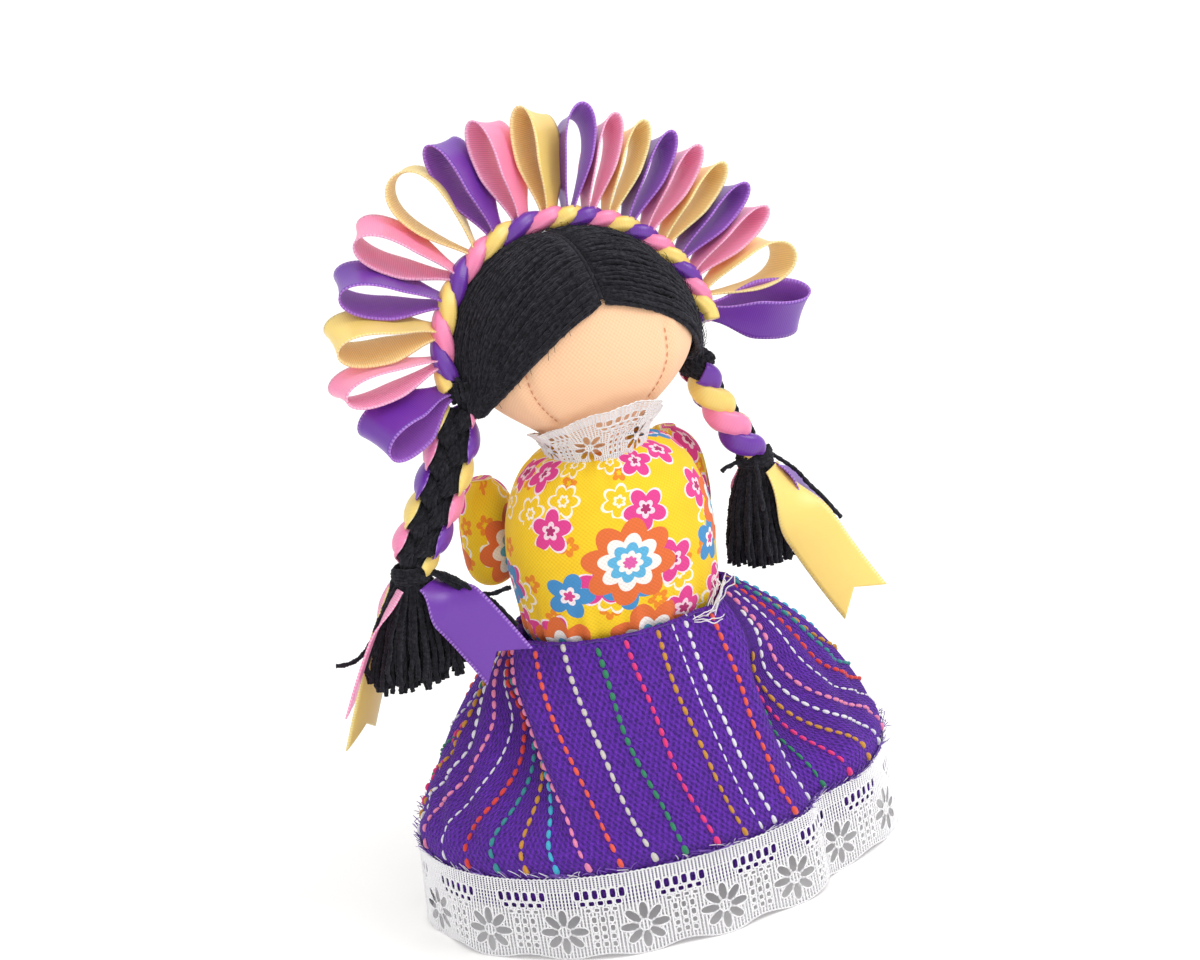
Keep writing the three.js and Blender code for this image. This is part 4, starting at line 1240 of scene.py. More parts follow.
@dataclass
class Plait:
    """A plait of yarn and ribbon with its tie, tassel and ribbon tails."""

    wardrobe: Wardrobe
    side: Side
    root: tuple[float, float, float]
    tie: tuple[float, float, float]
    tails: tuple[Tail, ...]
    ends: tuple[tuple[float, float, float, float], ...]
    spread: float
    sway: float
    turn: float
    ribbon_arc: float
    ribbon_front: float
    ribbon_back: float
    root_size: float = 0.7
    gather: float = 0.0
    bend: float = 2.4
    half_width: float = 2.3
    depth: float = 1.6
    strand: float = 1.95
    bundle: int = 10
    gathered_yarns: int = 34
    yarn: float = 0.52
    twist: float = 0.25
    lay: float = 17.0
    tie_height: float = 3.6
    tie_radius: float = 3.5
    tassel_length: float = 19.0
    tassel_depth: float = 5.6
    tassel_strands: int = 150
    ribbon_width: float = 10.2
    tail_notch: float = 3.6

    def __post_init__(self) -> None:
        """Names its side and its two bodies."""
        self.label = self.side.label
        self.braid = f"{self.label}_braid"
        self.tassel = f"{self.label}_tassel"

    def build(self) -> None:
        """Builds the plait from its root down."""
        rng = default_rng(SEED + self.side.value)
        self.build_plait(rng)
        self.build_tie(rng)
        self.build_tassel(rng)
        for tail in self.tails:
            self.build_tail(tail)

    def centre_line(self, count: int) -> Array:
        """Middle line of the plait."""
        root = np.array(self.root)
        end = np.array(self.tie) + (0, 0, self.tie_height / 2 - 0.4)
        control = mix(root, end, 0.55) + (-self.side.value * self.bend, 0, 0)
        return swept(root, control, end, np.linspace(0, 1, count)[:, None])

    def build_plait(self, rng: Generator) -> None:
        """Plaits three bundles of yarn, each with a ribbon on it."""
        count = 150
        line = self.centre_line(count)
        run = lengths(line)
        tangent = along(line)
        t = run / run[-1]
        turn = math.radians(self.turn)
        flat = square_to(np.broadcast_to([math.cos(turn), math.sin(turn), 0], line.shape), tangent)
        front = np.cross(flat, tangent)
        front *= np.sign(-front[:, 1:2])
        size = mix(self.root_size, 1.0, smooth(t, 0, 0.2)) * mix(1.0, 0.8, smooth(t, 0.86, 1))
        yarns = []
        for k, colour in enumerate(Satin):
            phase = TAU * (run / self.lay + k / 3)
            to_front = -self.depth * size * np.sin(2 * phase)
            middle = away(line, flat, self.half_width * size * np.sin(phase), front, to_front)
            direction = along(middle)
            show = self.ribbon_front - self.ribbon_back * np.cos(phase) ** 2
            ahead = square_to(flat * np.sin(phase)[:, None] + front * show[:, None], direction)
            up = np.cross(direction, ahead)
            for j in range(self.bundle + 1):
                place = TAU * j / self.bundle + 0.05 * run
                far = 0.0 if j == self.bundle else self.strand - self.yarn
                offset = (far + 0.12 * wander(count, rng)) * size
                yarns.append(away(middle, ahead, offset * np.cos(place), up, offset * np.sin(place)))
            bare = int(self.gather * count)
            self.plait_ribbon(colour, middle[bare:], ahead[bare:], up[bare:], size[bare:])
        if self.gather:
            yarns += self.gathered(line, flat, front, t, rng)
        name = f"plait_yarns_{self.label}"
        self.wardrobe.lay_yarns(name, yarns, self.yarn, self.twist, self.braid, self.braid)

    def gathered(self, line: Array, flat: Array, front: Array, t: Array, rng: Generator) -> list[Array]:
        """Yarns gathered round the top of the plait.

        Args:
            line: Middle line of the plait.
            flat: Direction across the plait.
            front: Direction out of the plait's face.
            t: Share of the plait's length at each point.
            rng: Source of the scatter.

        Returns:
            Lines of the yarns.
        """
        rows = slice(int(0.06 * len(line)), int(self.gather * len(line)))
        count = rows.stop - rows.start
        far = mix(1.9, 3.1, smooth(t[rows], 0.04, 0.14))
        lines = []
        for i in range(self.gathered_yarns):
            angle = TAU * i / self.gathered_yarns + 0.15 * wander(count, rng)
            reach = far - 0.25 * (i % 2) + 0.1 * wander(count, rng)
            sides = flat[rows] * np.cos(angle)[:, None] + front[rows] * np.sin(angle)[:, None]
            lines.append(line[rows] + sides * reach[:, None])
        return lines

    def plait_ribbon(self, colour: Satin, middle: Array, ahead: Array, up: Array, size: Array) -> None:
        """Lays a ribbon over one bundle of the plait.

        Args:
            colour: Ribbon colour.
            middle: Middle line of the bundle.
            ahead: Side of the bundle that carries the ribbon.
            up: Direction across the ribbon.
            size: Share of the full bundle size.
        """
        columns = 13
        arc = np.radians(np.linspace(-0.5, 0.5, columns) * self.ribbon_arc)
        far = (self.strand + 0.22) * size[:, None]
        out = far * squared(np.cos(arc), 0.55)
        aside = far * squared(np.sin(arc), 0.8)
        grid = away(middle[:, None], ahead[:, None], out, up[:, None], aside)
        width = np.linspace(-1, 1, columns) * SatinRibbon.half_width
        uv = joined(width[None], lengths(middle)[:, None])
        name = f"plait_ribbon_{self.label}_{colour.label}"
        piece = grid_object(name, grid, uv, self.wardrobe.satin[colour][0])
        thicken(piece, 0.25, 0.0)
        settle(piece, self.braid, colour.slot)

    def build_tie(self, rng: Generator) -> None:
        """Winds the yarn tie and leaves its loose ends."""
        turns = 5
        t = np.linspace(0, 1, turns * 24)
        angle = TAU * turns * t
        radius = self.tie_radius * (0.84 + 0.1 * np.sin(math.pi * t))
        coil = joined(
            radius * np.cos(angle),
            radius * 0.85 * np.sin(angle),
            (t - 0.5) * (self.tie_height - 0.9) + 0.3 * np.sin(2 * angle + 0.7),
        )
        lines = [coil + self.tie, coil[::-1] * (0.93, 0.93, -0.9) + self.tie]
        lines += self.loose_ends(rng)
        name = f"yarn_tie_{self.label}"
        self.wardrobe.lay_yarns(name, lines, 0.5, self.twist, self.braid, f"{self.braid}_tie")

    def loose_ends(self, rng: Generator) -> list[Array]:
        """Ends of the tie that hang beside the tassel, each by its reach and the rise of its middle."""
        count = 30
        t = np.linspace(0, 1, count)[:, None]
        lines = []
        for *reach, arch in self.ends:
            goal = np.array(reach)
            start = unit(goal * (1, 1, 0)) * self.tie_radius * 0.9
            middle = mix(start, goal, 0.5) + (0, 0, arch)
            curl = joined(*(wander(count, rng) for _ in range(3)))
            lines.append(swept(start, middle, goal, t) + 0.3 * t * curl + self.tie)
        return lines

    def build_tassel(self, rng: Generator) -> None:
        """Hangs the cut yarn ends below the tie."""
        top = np.array(self.tie) - (0, 0, self.tie_height / 2 - 0.6)
        count = 34
        t = np.linspace(0, 1, count)
        fan = np.sin(t * math.pi / 2) ** 0.8
        lines = []
        for i in range(self.tassel_strands):
            far = math.sqrt((i + 0.5) / self.tassel_strands)
            angle = i * GOLDEN_ANGLE + rng.normal(0, 0.1)
            wide = mix(self.tie_radius * 0.72, self.spread - 0.4, fan) * far
            deep = mix(self.tie_radius * 0.62, self.tassel_depth - 0.4, fan) * far
            drop = self.tassel_length * rng.uniform(0.88, 1.03) * (1 - 0.05 * far * far)
            x = top[0] + wide * math.cos(angle) + self.sway * t + 0.35 * wander(count, rng) * t
            y = top[1] + deep * math.sin(angle) + 0.35 * wander(count, rng) * t
            lines.append(joined(x, y, top[2] - drop * t))
        name = f"tassel_yarns_{self.label}"
        self.wardrobe.lay_yarns(name, lines, self.yarn, self.twist, self.tassel, self.tassel)

    def build_tail(self, tail: Tail) -> None:
        """Hangs one notched ribbon tail."""
        run = np.array(tail.run)
        level = unit(run * (1, 1, 0))
        tie = np.array(self.tie)
        start = tie + level * (self.tie_radius - 0.3) - (0, 0, self.tie_height / 2)
        end = tie + run
        control = mix(start, end, 0.45) + (0, 0, tail.arch)
        t = np.linspace(0, 1, 60)[:, None]
        path = swept(start, control, end, t)
        last = unit(np.array(tail.across))
        first = np.array([-level[1], level[0], 0.0])
        first *= np.sign(first @ last)
        across = unit(mix(first, last, smooth(t, 0.0, 0.5)))
        widths = mix(self.ribbon_width * 0.58, self.ribbon_width, smooth(t[:, 0], 0, 0.4))
        colour = tail.colour
        name = f"ribbon_tail_{self.label}_{colour.label}"
        piece = ribbon(name, path, across, widths, self.wardrobe.satin[colour], self.tail_notch)
        settle(piece, self.tassel, colour.slot, f"{self.label}_tail_{colour.label}")


@dataclass
class Torso:
    """The stuffed body in printed cotton, narrowed to the neckline and tucked under the skirt."""

    wardrobe: Wardrobe
    waist_z: float = 50.0
    bottom_z: float = 44.0
    neckline_z: float = 81.0
    half_width: float = 19.6
    half_depth: float = 13.6
    neck: float = 7.95
    belly_share: float = 0.36
    cloth_round: float = 17.0

    def half(self, z: Array | float) -> tuple[Array, Array]:
        """Half width and half depth at a height."""
        z = np.asarray(z, float)
        belly = mix(self.waist_z, self.neckline_z, self.belly_share)
        rise = np.maximum(0, (z - belly) / (self.neckline_z - belly))
        share = np.sqrt(np.maximum(0, 1 - rise ** 2.3))
        drop = np.maximum(0, (belly - z) / (belly - self.bottom_z))
        tuck = 1 - 0.09 * drop - 0.25 * np.maximum(0, (drop - 0.6) / 0.4) ** 2
        return tuple(mix(self.neck, full, share) * tuck for full in (self.half_width, self.half_depth))

    def build(self) -> None:
        """Builds the body."""
        columns = 144
        t = np.linspace(0, 1, 70)
        heights = mix(self.bottom_z, self.neckline_z, 1 - (1 - t) ** 1.6)
        angle = np.linspace(0, TAU, columns + 1) + math.pi / 2
        wide, deep = self.half(heights)
        waist = np.exp(-((heights - self.waist_z) / 5.0) ** 2)
        neckline = np.exp(-((heights - self.neckline_z) / 3.5) ** 2)
        wave = np.cos(23 * angle + 1.2 * np.sin(3 * angle)) + 0.6 * np.cos(37 * angle)
        swell = (0.35 * waist + 0.3 * neckline)[:, None] * wave[None, :-1]
        grid = joined(
            (wide[:, None] + swell) * np.cos(angle[:-1]),
            (deep[:, None] + swell) * np.sin(angle[:-1]),
            heights[:, None],
        )
        rise = lengths(joined(wide, heights))
        uv = joined((angle - 1.5 * math.pi)[None] * self.cloth_round, rise[:, None])
        torso = grid_object("torso_print", grid, uv, self.wardrobe.print, wrap=True, caps=True)
        settle(torso, "torso", "cotton_print", "torso_cover", "torso_stuffing")


@dataclass
class Limb:
    """A stuffed limb sewn on at its top: a swelling tube with a rounded end."""

    wardrobe: Wardrobe
    name: str
    body: str
    top: tuple[float, float, float]
    length: float
    half_sizes: tuple[float, float]
    turn: float
    printed: bool
    mouth: float = 2.2

    def build(self) -> None:
        """Builds the limb."""
        columns = 64
        t = 0.5 - 0.5 * np.cos(np.linspace(0, math.pi, 44))
        shape = np.sqrt(np.maximum(0, 1 - ((1 - 2 * t) ** 2) ** 1.6)) * mix(0.93, 1.07, t)
        angle = np.linspace(0, TAU, columns + 1)
        seam = 1 - 0.02 * np.exp(-((np.sin(angle[:-1]) ** 2 - 1) / 0.02) ** 2)
        mouth = self.mouth * (1 - smooth(t, 0.5, 0.99))
        wide = np.maximum(mouth, self.half_sizes[0] * shape)[:, None] * np.cos(angle[:-1]) * seam
        deep = np.maximum(mouth, self.half_sizes[1] * shape)[:, None] * np.sin(angle[:-1]) * seam
        turn = math.radians(self.turn)
        grid = joined(
            self.top[0] + wide * math.cos(turn) - deep * math.sin(turn),
            self.top[1] + wide * math.sin(turn) + deep * math.cos(turn),
            (self.top[2] - self.length * t)[:, None],
        )[::-1]
        uv = joined(angle[None] * 6, -(self.length * t)[::-1][:, None])
        finish = self.wardrobe.print if self.printed else self.wardrobe.skin
        slot = "cotton_print" if self.printed else "cotton_skin"
        limb = grid_object(self.name, grid, uv, finish, wrap=True, caps=True)
        settle(limb, self.body, slot, f"{self.body}_cover", f"{self.body}_stuffing")


class Stripe(Enum):
    """Thread colours of the skirt's dashed stripes."""

    PINK = "#F28BB4"
    WHITE = "#ECEAF2"
    RED = "#E0342A"
    TEAL = "#1E8E92"
    MUSTARD = "#D3941F"
    TURQUOISE = "#35B6D6"
    CORAL = "#F4573F"
    OYSTER = "#D9D3CB"
    GREEN = "#11885A"
    MAGENTA = "#F0287E"


@dataclass(frozen=True)
class Band:
    """One woven stripe.

    Args:
        stripe: Thread colour.
        gap: Cloth from this stripe to the next, in mm.
        radius: Half the thread's width in mm.
    """

    stripe: Stripe
    gap: float = 5.6
    radius: float = 0.42


@dataclass(frozen=True)
class Fold:
    """A fold that swallows cloth.

    Args:
        place: Cloth distance from the front panel's middle, in mm.
        depth: How far the cloth dives in, in mm.
        spread: Half width of the valley, in mm of cloth.
        low: Share of the rise at which the fold has opened out.
        full: Share of the rise from which it is at its full depth.
    """

    place: float
    depth: float
    spread: float
    low: float
    full: float


@dataclass
class Skirt:
    """The gathered handloom skirt: a smooth panel between two deep folds, woven stripes, a rolled hem."""

    wardrobe: Wardrobe
    torso: Torso
    lace_height: float = 15.5
    bottom_z: float = 9.2
    rise: float = 34.5
    hem_half_width: float = 44.4
    hem_half_depth: float = 35.0
    belly: float = 2.0
    side_puff: float = 2.8
    puff_azimuth: float = -34.0
    roll: float = 1.1
    cloth: float = 0.8
    thickness: float = 0.7
    slant: float = 1.12
    panel_half: float = 22.0
    panel_hem: float = -94.5
    panel_waist: float = -108.0
    gather_pitch: float = 12.0
    gather_limit: float = 1.1
    edge_ridge: float = 1.3
    pleat: float = 0.9
    folds: tuple[Fold, ...] = (
        Fold(-25.5, 5.2, 2.6, 0.1, 0.5),
        Fold(24.5, 4.6, 2.4, -0.35, 0.3),
    )
    fold_ease: float = 2.4
    back_folds: tuple[float, ...] = (20.0, 62.0, 118.0, 160.0)
    back_depth: float = 3.4
    back_spread: float = 9.0
    least_shown: float = 0.2
    dash_pitch: float = 2.1
    dash_length: float = 1.55
    hem_dash: float = 2.6
    first_stripe: float = -57.5
    weave: tuple[Band, ...] = (
        Band(Stripe.PINK, 6.5),
        Band(Stripe.WHITE, 6.5, 0.24),
        Band(Stripe.RED, 6.0, 0.46),
        Band(Stripe.TEAL, 5.8),
        Band(Stripe.MUSTARD),
        Band(Stripe.TURQUOISE),
        Band(Stripe.PINK),
        Band(Stripe.CORAL),
        Band(Stripe.OYSTER, 5.6, 0.46),
        Band(Stripe.GREEN, 5.6, 0.46),
        Band(Stripe.MAGENTA),
        Band(Stripe.MUSTARD, 3.2),
        Band(Stripe.WHITE, 2.6, 0.2),
        Band(Stripe.WHITE, 4.8, 0.38),
        Band(Stripe.CORAL, 5.4),
        Band(Stripe.WHITE, 5.4, 0.3),
        Band(Stripe.GREEN, 5.6, 0.34),
        Band(Stripe.MAGENTA, 6.0),
        Band(Stripe.MUSTARD, 6.5),
        Band(Stripe.WHITE, 6.0, 0.38),
    )

    def __post_init__(self) -> None:
        """Works out how each line of the cloth runs from the hem up to the gathers."""
        self.half_cloth = self.level_ring(self.lace_height)[1][-1]
        self.levels = np.linspace(self.bottom_z, self.lace_height + self.rise, 60)
        self.lines = np.linspace(-self.half_cloth, self.half_cloth, 601)
        rows = [self.laid_round(z) for z in self.levels]
        self.turns = np.stack([row[0] for row in rows])
        self.squeeze = np.array([row[1] for row in rows])

    def share(self, z: Array | float) -> Array:
        """Height as a share of the rise from hem to waist."""
        return np.clip((np.asarray(z, float) - self.lace_height) / self.rise, 0, 1)

    def half(self, z: Array | float) -> list[Array]:
        """Half width and half depth of the skirt's round at a height, without its folds."""
        rise = self.share(z)
        waist = [half + FIT + self.cloth for half in self.torso.half(self.torso.waist_z)]
        roll = np.where(rise > 0, self.roll * np.sin(math.pi * np.minimum(1, rise * 6)), 0)
        extra = self.belly * np.sin(math.pi * rise) + roll
        hems = (self.hem_half_width, self.hem_half_depth)
        return [mix(hem, top, rise ** 1.18) + extra for hem, top in zip(hems, waist)]

    def level_ring(self, z: float) -> tuple[Array, Array]:
        """Azimuths round one level, with their distance from the front panel's middle in mm."""
        middle = math.radians(mix(self.panel_hem, self.panel_waist, self.share(z)))
        turn = np.linspace(-math.pi, math.pi, 721)
        wide, deep = self.half(z)
        run = lengths(joined(wide * np.cos(middle + turn), deep * np.sin(middle + turn)))
        return middle + turn, run - run[-1] / 2

    def laid_round(self, z: float) -> tuple[Array, float]:
        """Lays the cloth round one level: the front panel smooth, the rest drawn together.

        Args:
            z: Height in mm.

        Returns:
            Azimuth of each line of the cloth, and how much the gathered part is drawn together.
        """
        azimuth, run = self.level_ring(z)
        squeeze = (run[-1] - self.panel_half) / (self.half_cloth - self.panel_half)
        far = np.abs(self.lines)
        drawn = np.where(far < self.panel_half, far, self.panel_half + (far - self.panel_half) * squeeze)
        return np.interp(drawn * np.sign(self.lines), run, azimuth), float(squeeze)

    def azimuth(self, place: Array, z: Array) -> Array:
        """Azimuth of the cloth at a place and height."""
        row = np.clip(np.interp(z, self.levels, np.arange(len(self.levels))), 0, len(self.levels) - 1.001)
        column = np.clip(np.interp(place, self.lines, np.arange(len(self.lines))), 0, len(self.lines) - 1.001)
        r = row.astype(int)
        c = column.astype(int)
        lower = mix(self.turns[r, c], self.turns[r, c + 1], column - c)
        upper = mix(self.turns[r + 1, c], self.turns[r + 1, c + 1], column - c)
        return mix(lower, upper, row - r)

    def even_place(self, place: Array, z: Array) -> Array:
        """Place of a line of cloth if all were gathered evenly: pleats by the panel take cloth in."""
        spare = np.maximum(0, np.abs(place) - self.panel_half) / (self.half_cloth - self.panel_half)
        tuck = 1 + self.pleat * smooth(self.share(z), 0.1, 0.7)
        drawn = self.panel_half + (self.half_cloth - self.panel_half) * spare ** tuck
        return np.where(spare > 0, np.sign(place) * drawn, place)

    def shown(self, place: Array, z: Array) -> Array:
        """Share of the cloth that still shows at a place and height, the rest being taken in by pleats."""
        sides = [self.azimuth(self.even_place(place + step, z), z) for step in (-0.4, 0.4)]
        return np.abs(sides[1] - sides[0]) * np.mean(self.half(z), axis=0) / 0.8

    def swell(self, place: Array, z: Array, azimuth: Array) -> Array:
        """How far gathers, ridges and folds take the cloth out of its round, in mm."""
        rise = self.share(z)
        outer = smooth(np.abs(place) - self.panel_half, -2, 7)
        squeeze = np.clip(np.interp(z, self.levels, self.squeeze), 0.1, 1)
        full = self.gather_pitch * squeeze / math.pi * np.sqrt(1 / squeeze - 1)
        height = np.minimum(self.gather_limit, full)
        wave = 0.5 + 0.5 * np.cos(TAU * place / self.gather_pitch + 1.4 * np.sin(place * 0.13))
        pucker = 0.3 * smooth(rise, 0.7, 0.97) * (0.5 + 0.5 * np.cos(2.3 * place + np.sin(place)))
        ridge = np.exp(-(((np.abs(place) - self.panel_half + 2.5) / 3.0) ** 2)) * smooth(rise, 0.15, 0.7)
        puff = self.side_puff * np.maximum(0, np.cos(azimuth - math.radians(self.puff_azimuth))) ** 4
        out = outer * height * wave + (1 - outer) * pucker + self.edge_ridge * ridge
        out = out + puff * np.sin(math.pi * rise ** 2)
        for fold in self.folds:
            off = (place - fold.place) * np.sign(fold.place)
            valley = np.exp(-0.5 * (np.where(off > 0, off / self.fold_ease, off) / fold.spread) ** 2)
            deep = smooth(rise, fold.low, fold.full) * (1 - 0.86 * smooth(rise, 0.62, 0.86))
            out = out - fold.depth * valley * deep
        for middle in self.back_folds:
            turn = (np.degrees(azimuth) - middle + 180) % 360 - 180
            valley = np.exp(-0.5 * (turn / self.back_spread) ** 2)
            out = out - self.back_depth * valley * np.sin(math.pi * mix(0.1, 1, rise))
        return out

    def point(self, place: Array, z: Array, grow: Array | float = 0.0) -> Array:
        """Points of the cloth's outer side.

        Args:
            place: Cloth distance from the front panel's middle, in mm at the hem.
            z: Heights in mm.
            grow: Distance outside the cloth in mm.

        Returns:
            Points in mm.
        """
        place, z = np.broadcast_arrays(np.asarray(place, float), np.asarray(z, float))
        place = self.even_place(place, z)
        azimuth = self.azimuth(place, z)
        extra = self.swell(place, z, azimuth) + grow
        wide, deep = self.half(z)
        return joined((wide + extra) * np.cos(azimuth), (deep + extra) * np.sin(azimuth), z)

    def build(self) -> tuple[Object, Object]:
        """Builds the cloth and its stripes.

        Returns:
            The skirt's sheet and its floats.
        """
        columns = 520
        u = np.linspace(-self.half_cloth, self.half_cloth, columns + 1)
        top = self.lace_height + self.rise
        below = np.linspace(self.bottom_z, self.lace_height, 6)[:-1]
        heights = np.concatenate([below, np.linspace(self.lace_height, top, 56)])
        grid = self.point(u[None, :-1], heights[:, None])
        uv = joined(u[None], (heights * self.slant)[:, None])
        skirt = grid_object("skirt_cloth", grid, uv, self.wardrobe.handloom, wrap=True)
        thicken(skirt, self.thickness)
        settle(skirt, "torso", "cotton_skirt", "skirt")
        return skirt, self.build_stripes()

    def stripes(self) -> list[tuple[float, Band]]:
        """Places of the woven stripes all round, in mm of cloth."""
        found = []
        limit = self.half_cloth - 2
        place = self.first_stripe
        for band in cycle(self.weave):
            if place >= limit:
                break
            found.append((place, band))
            place += band.gap
        place = self.first_stripe
        for band in self.weave[::-1]:
            place -= band.gap
            if place <= -limit:
                break
            found.append((place, band))
        return found

    def build_stripes(self) -> Object:
        """Weaves the stripes' coloured floats into the cloth.

        Returns:
            The floats.
        """
        rng = default_rng(SEED)
        lines = []
        colours = []
        widths = []
        count = 220
        z = np.linspace(self.lace_height + 0.7, self.lace_height + self.rise - 0.2, count)
        arch = np.sin(np.linspace(0, math.pi, 6))
        for place, band in self.stripes():
            path = self.point(place + 0.25 * wander(count, rng), z)
            beside = self.point(place + 0.3, z) - self.point(place - 0.3, z)
            normal = unit(np.cross(beside, np.gradient(path, axis=0)))
            run = lengths(path)
            shown = self.shown(np.full(z.shape, place), z)
            first = self.hem_dash + rng.uniform(0, 0.8)
            starts = np.arange(first, run[-1] - self.dash_length, self.dash_pitch)
            dashes = [(0.1, 1.9, 1.3)]
            dashes += [(start, self.dash_length * rng.uniform(0.88, 1.1), 1.0) for start in starts]
            for start, length, wide in dashes:
                if np.interp(start, run, shown) < self.least_shown:
                    continue
                spots = start + np.linspace(0, length, 6)
                lift = sample(normal, run, spots) * (0.5 * band.radius * arch - 0.06)[:, None]
                lines.append(sample(path, run, spots) + lift)
                colours.append(band.stripe.value)
                widths.append(band.radius * wide * rng.uniform(0.9, 1.1))
        floats = THREADS.make(
            "skirt_floats",
            lines,
            self.wardrobe.stripe,
            1.0,
            7,
            flatness=0.8,
            taper=0.62,
            colours=colours,
            widths=widths,
        )
        settle(floats, "torso", "cotton_skirt")
        return floats


@dataclass(frozen=True)
class LaceHole:
    """An opening in the lace: a leaf or a rounded box, in mm along and up one repeat."""

    along: float
    up: float
    half_along: float
    half_up: float
    turn: float = 0.0
    power: float = 2.0

    def share(self, u: Array, v: Array, repeat: float) -> Array:
        """Distance from the opening's middle, 1 on its rim."""
        x = (u - self.along + repeat / 2) % repeat - repeat / 2
        y = v - self.up
        a = math.radians(self.turn)
        p = np.abs(x * math.cos(a) + y * math.sin(a)) / self.half_along
        q = np.abs(y * math.cos(a) - x * math.sin(a)) / self.half_up
        return p ** self.power + q ** self.power

    def rim(self, count: int) -> Array:
        """Points round the opening."""
        t = np.linspace(0, TAU, count)
        x = self.half_along * np.sign(np.cos(t)) * np.abs(np.cos(t)) ** (2 / self.power)
        y = self.half_up * np.sign(np.sin(t)) * np.abs(np.sin(t)) ** (2 / self.power)
        a = math.radians(self.turn)
        turned = joined(x * math.cos(a) - y * math.sin(a), x * math.sin(a) + y * math.cos(a))
        return turned + (self.along, self.up)


@dataclass
class Lace:
    """Warp-knit edging: upright chains with fine rungs, a ladder of holes and a row of wheels."""

    repeat: float = 14.0
    height: float = 15.5
    wales: int = 22
    row: float = 0.66
    header: float = 12.9
    scallop: float = 0.9
    wheel_up: float = 5.3
    petal_reach: float = 2.65
    chain: float = 0.21
    rung: float = 0.11
    rim: float = 0.18

    def holes(self) -> list[LaceHole]:
        """Openings of one repeat: three rows that narrow downward, a wheel of petals and a mesh beside it."""
        half = self.repeat / 2
        found = []
        for count, up, wide, high in ((6, 12.1, 0.62, 1.0), (5, 10.45, 0.6, 0.56), (4, 9.2, 0.52, 0.42)):
            places = [half + (i - (count - 1) / 2) * 1.55 for i in range(count)]
            found += [LaceHole(place, up, wide, high, 0, 3.2) for place in places]
        for i in range(8):
            turn = 45.0 * i
            along = self.petal_reach * math.cos(math.radians(turn))
            up = self.wheel_up + self.petal_reach * math.sin(math.radians(turn))
            found.append(LaceHole(along, up, 1.7, 0.86, turn, 2.3))
        for column in (-1.5, 0.0, 1.5):
            found += [LaceHole(half + column, up, 0.5, 0.66, 0, 3.0) for up in (7.4, 5.7, 4.0, 2.3)]
        return found

    def in_hole(self, u: Array, v: Array) -> Array:
        """Whether places of the pattern lie in an opening."""
        return np.any([hole.share(u, v, self.repeat) < 1 for hole in self.holes()], axis=0)

    def runs(self, u: Array, v: Array, keep: int) -> list[Array]:
        """Cuts a thread where it crosses openings.

        Args:
            u: Places along, closely spaced.
            v: Places up.
            keep: Points between those that are kept.

        Returns:
            Polylines of (along, up).
        """
        closed = ~self.in_hole(u, v)
        edges = np.flatnonzero(np.diff(np.concatenate([[0], closed.astype(int), [0]])))
        found = []
        for a, b in zip(edges[::2], edges[1::2]):
            if b - a >= 3:
                spots = np.unique(np.concatenate([np.arange(a, b, keep), [b - 1]]))
                found.append(joined(u[spots], v[spots]))
        return found

    def threads(self, count: int) -> dict[str, list[Array]]:
        """Threads of a whole strip, in pattern coordinates.

        Args:
            count: Number of repeats.

        Returns:
            Chains, rungs and rims as polylines of (along, up) in mm.
        """
        step = self.repeat / self.wales
        up = np.arange(0, self.height, 0.11)
        chains = []
        for column in range(self.wales):
            chains += self.runs(np.full(up.shape, (column + 0.5) * step), up, 6)
        across = np.arange(0, self.repeat + 0.05, step / 5)
        body = np.arange(0.25, self.header, self.row)
        rungs = []
        for v in np.concatenate([body, np.arange(self.header, self.height, 0.4)]):
            rungs += self.runs(across, np.full(across.shape, v), 5)
        rims = [hole.rim(15) for hole in self.holes()]
        edge = np.linspace(0, self.repeat, 29)
        rims.append(joined(edge, 0.12))
        rims.append(joined(edge, self.height - 0.12 + 0.1 * np.cos(TAU * edge)))
        found = {}
        for name, lines in (("chains", chains), ("rungs", rungs), ("rims", rims)):
            drawn = [self.scalloped(line) for line in lines]
            found[name] = [line + (k * self.repeat, 0) for k in range(count) for line in drawn]
        return found

    def scalloped(self, line: Array) -> Array:
        """Draws the lower edge up between the wheels."""
        lift = self.scallop * (0.5 - 0.5 * np.cos(TAU * line[:, 0] / self.repeat))
        fade = np.clip(1 - line[:, 1] / 5, 0, 1)
        return line + joined(0, lift * fade)


@dataclass
class HemLace:
    """The lace hem, sewn over the skirt's edge and reaching to the floor."""

    wardrobe: Wardrobe
    skirt: Skirt
    lace: Lace
    flare: float = 0.8
    lift: float = 0.7

    def place(self, line: Array, scale: float) -> Array:
        """Hangs a thread of the pattern on the hem."""
        along_hem = line[:, 0] * scale - self.skirt.half_cloth
        drop = 1 - line[:, 1] / self.lace.height
        ripple = 0.45 * np.cos(TAU * along_hem / 21 + np.sin(along_hem / 9)) * drop
        grow = self.lift + self.flare * drop + ripple
        edge = self.skirt.point(along_hem, np.full(len(line), self.skirt.lace_height), grow)
        edge[:, 2] = np.maximum(line[:, 1], self.lace.chain)
        return edge

    def build(self) -> list[Object]:
        """Builds the lace.

        Returns:
            The lace pieces.
        """
        count = round(2 * self.skirt.half_cloth / self.lace.repeat)
        scale = 2 * self.skirt.half_cloth / (count * self.lace.repeat)
        threads = self.lace.threads(count)
        pieces = []
        kinds = (("chains", self.lace.chain, 4), ("rungs", self.lace.rung, 3), ("rims", self.lace.rim, 4))
        for name, radius, sides in kinds:
            lines = [self.place(line, scale) for line in threads[name]]
            piece = THREADS.make(f"hem_lace_{name}", lines, self.wardrobe.lace, radius, sides)
            settle(piece, "torso", "lace_white", *(["hem_lace"] if name == "chains" else []))
            pieces.append(piece)
        return pieces


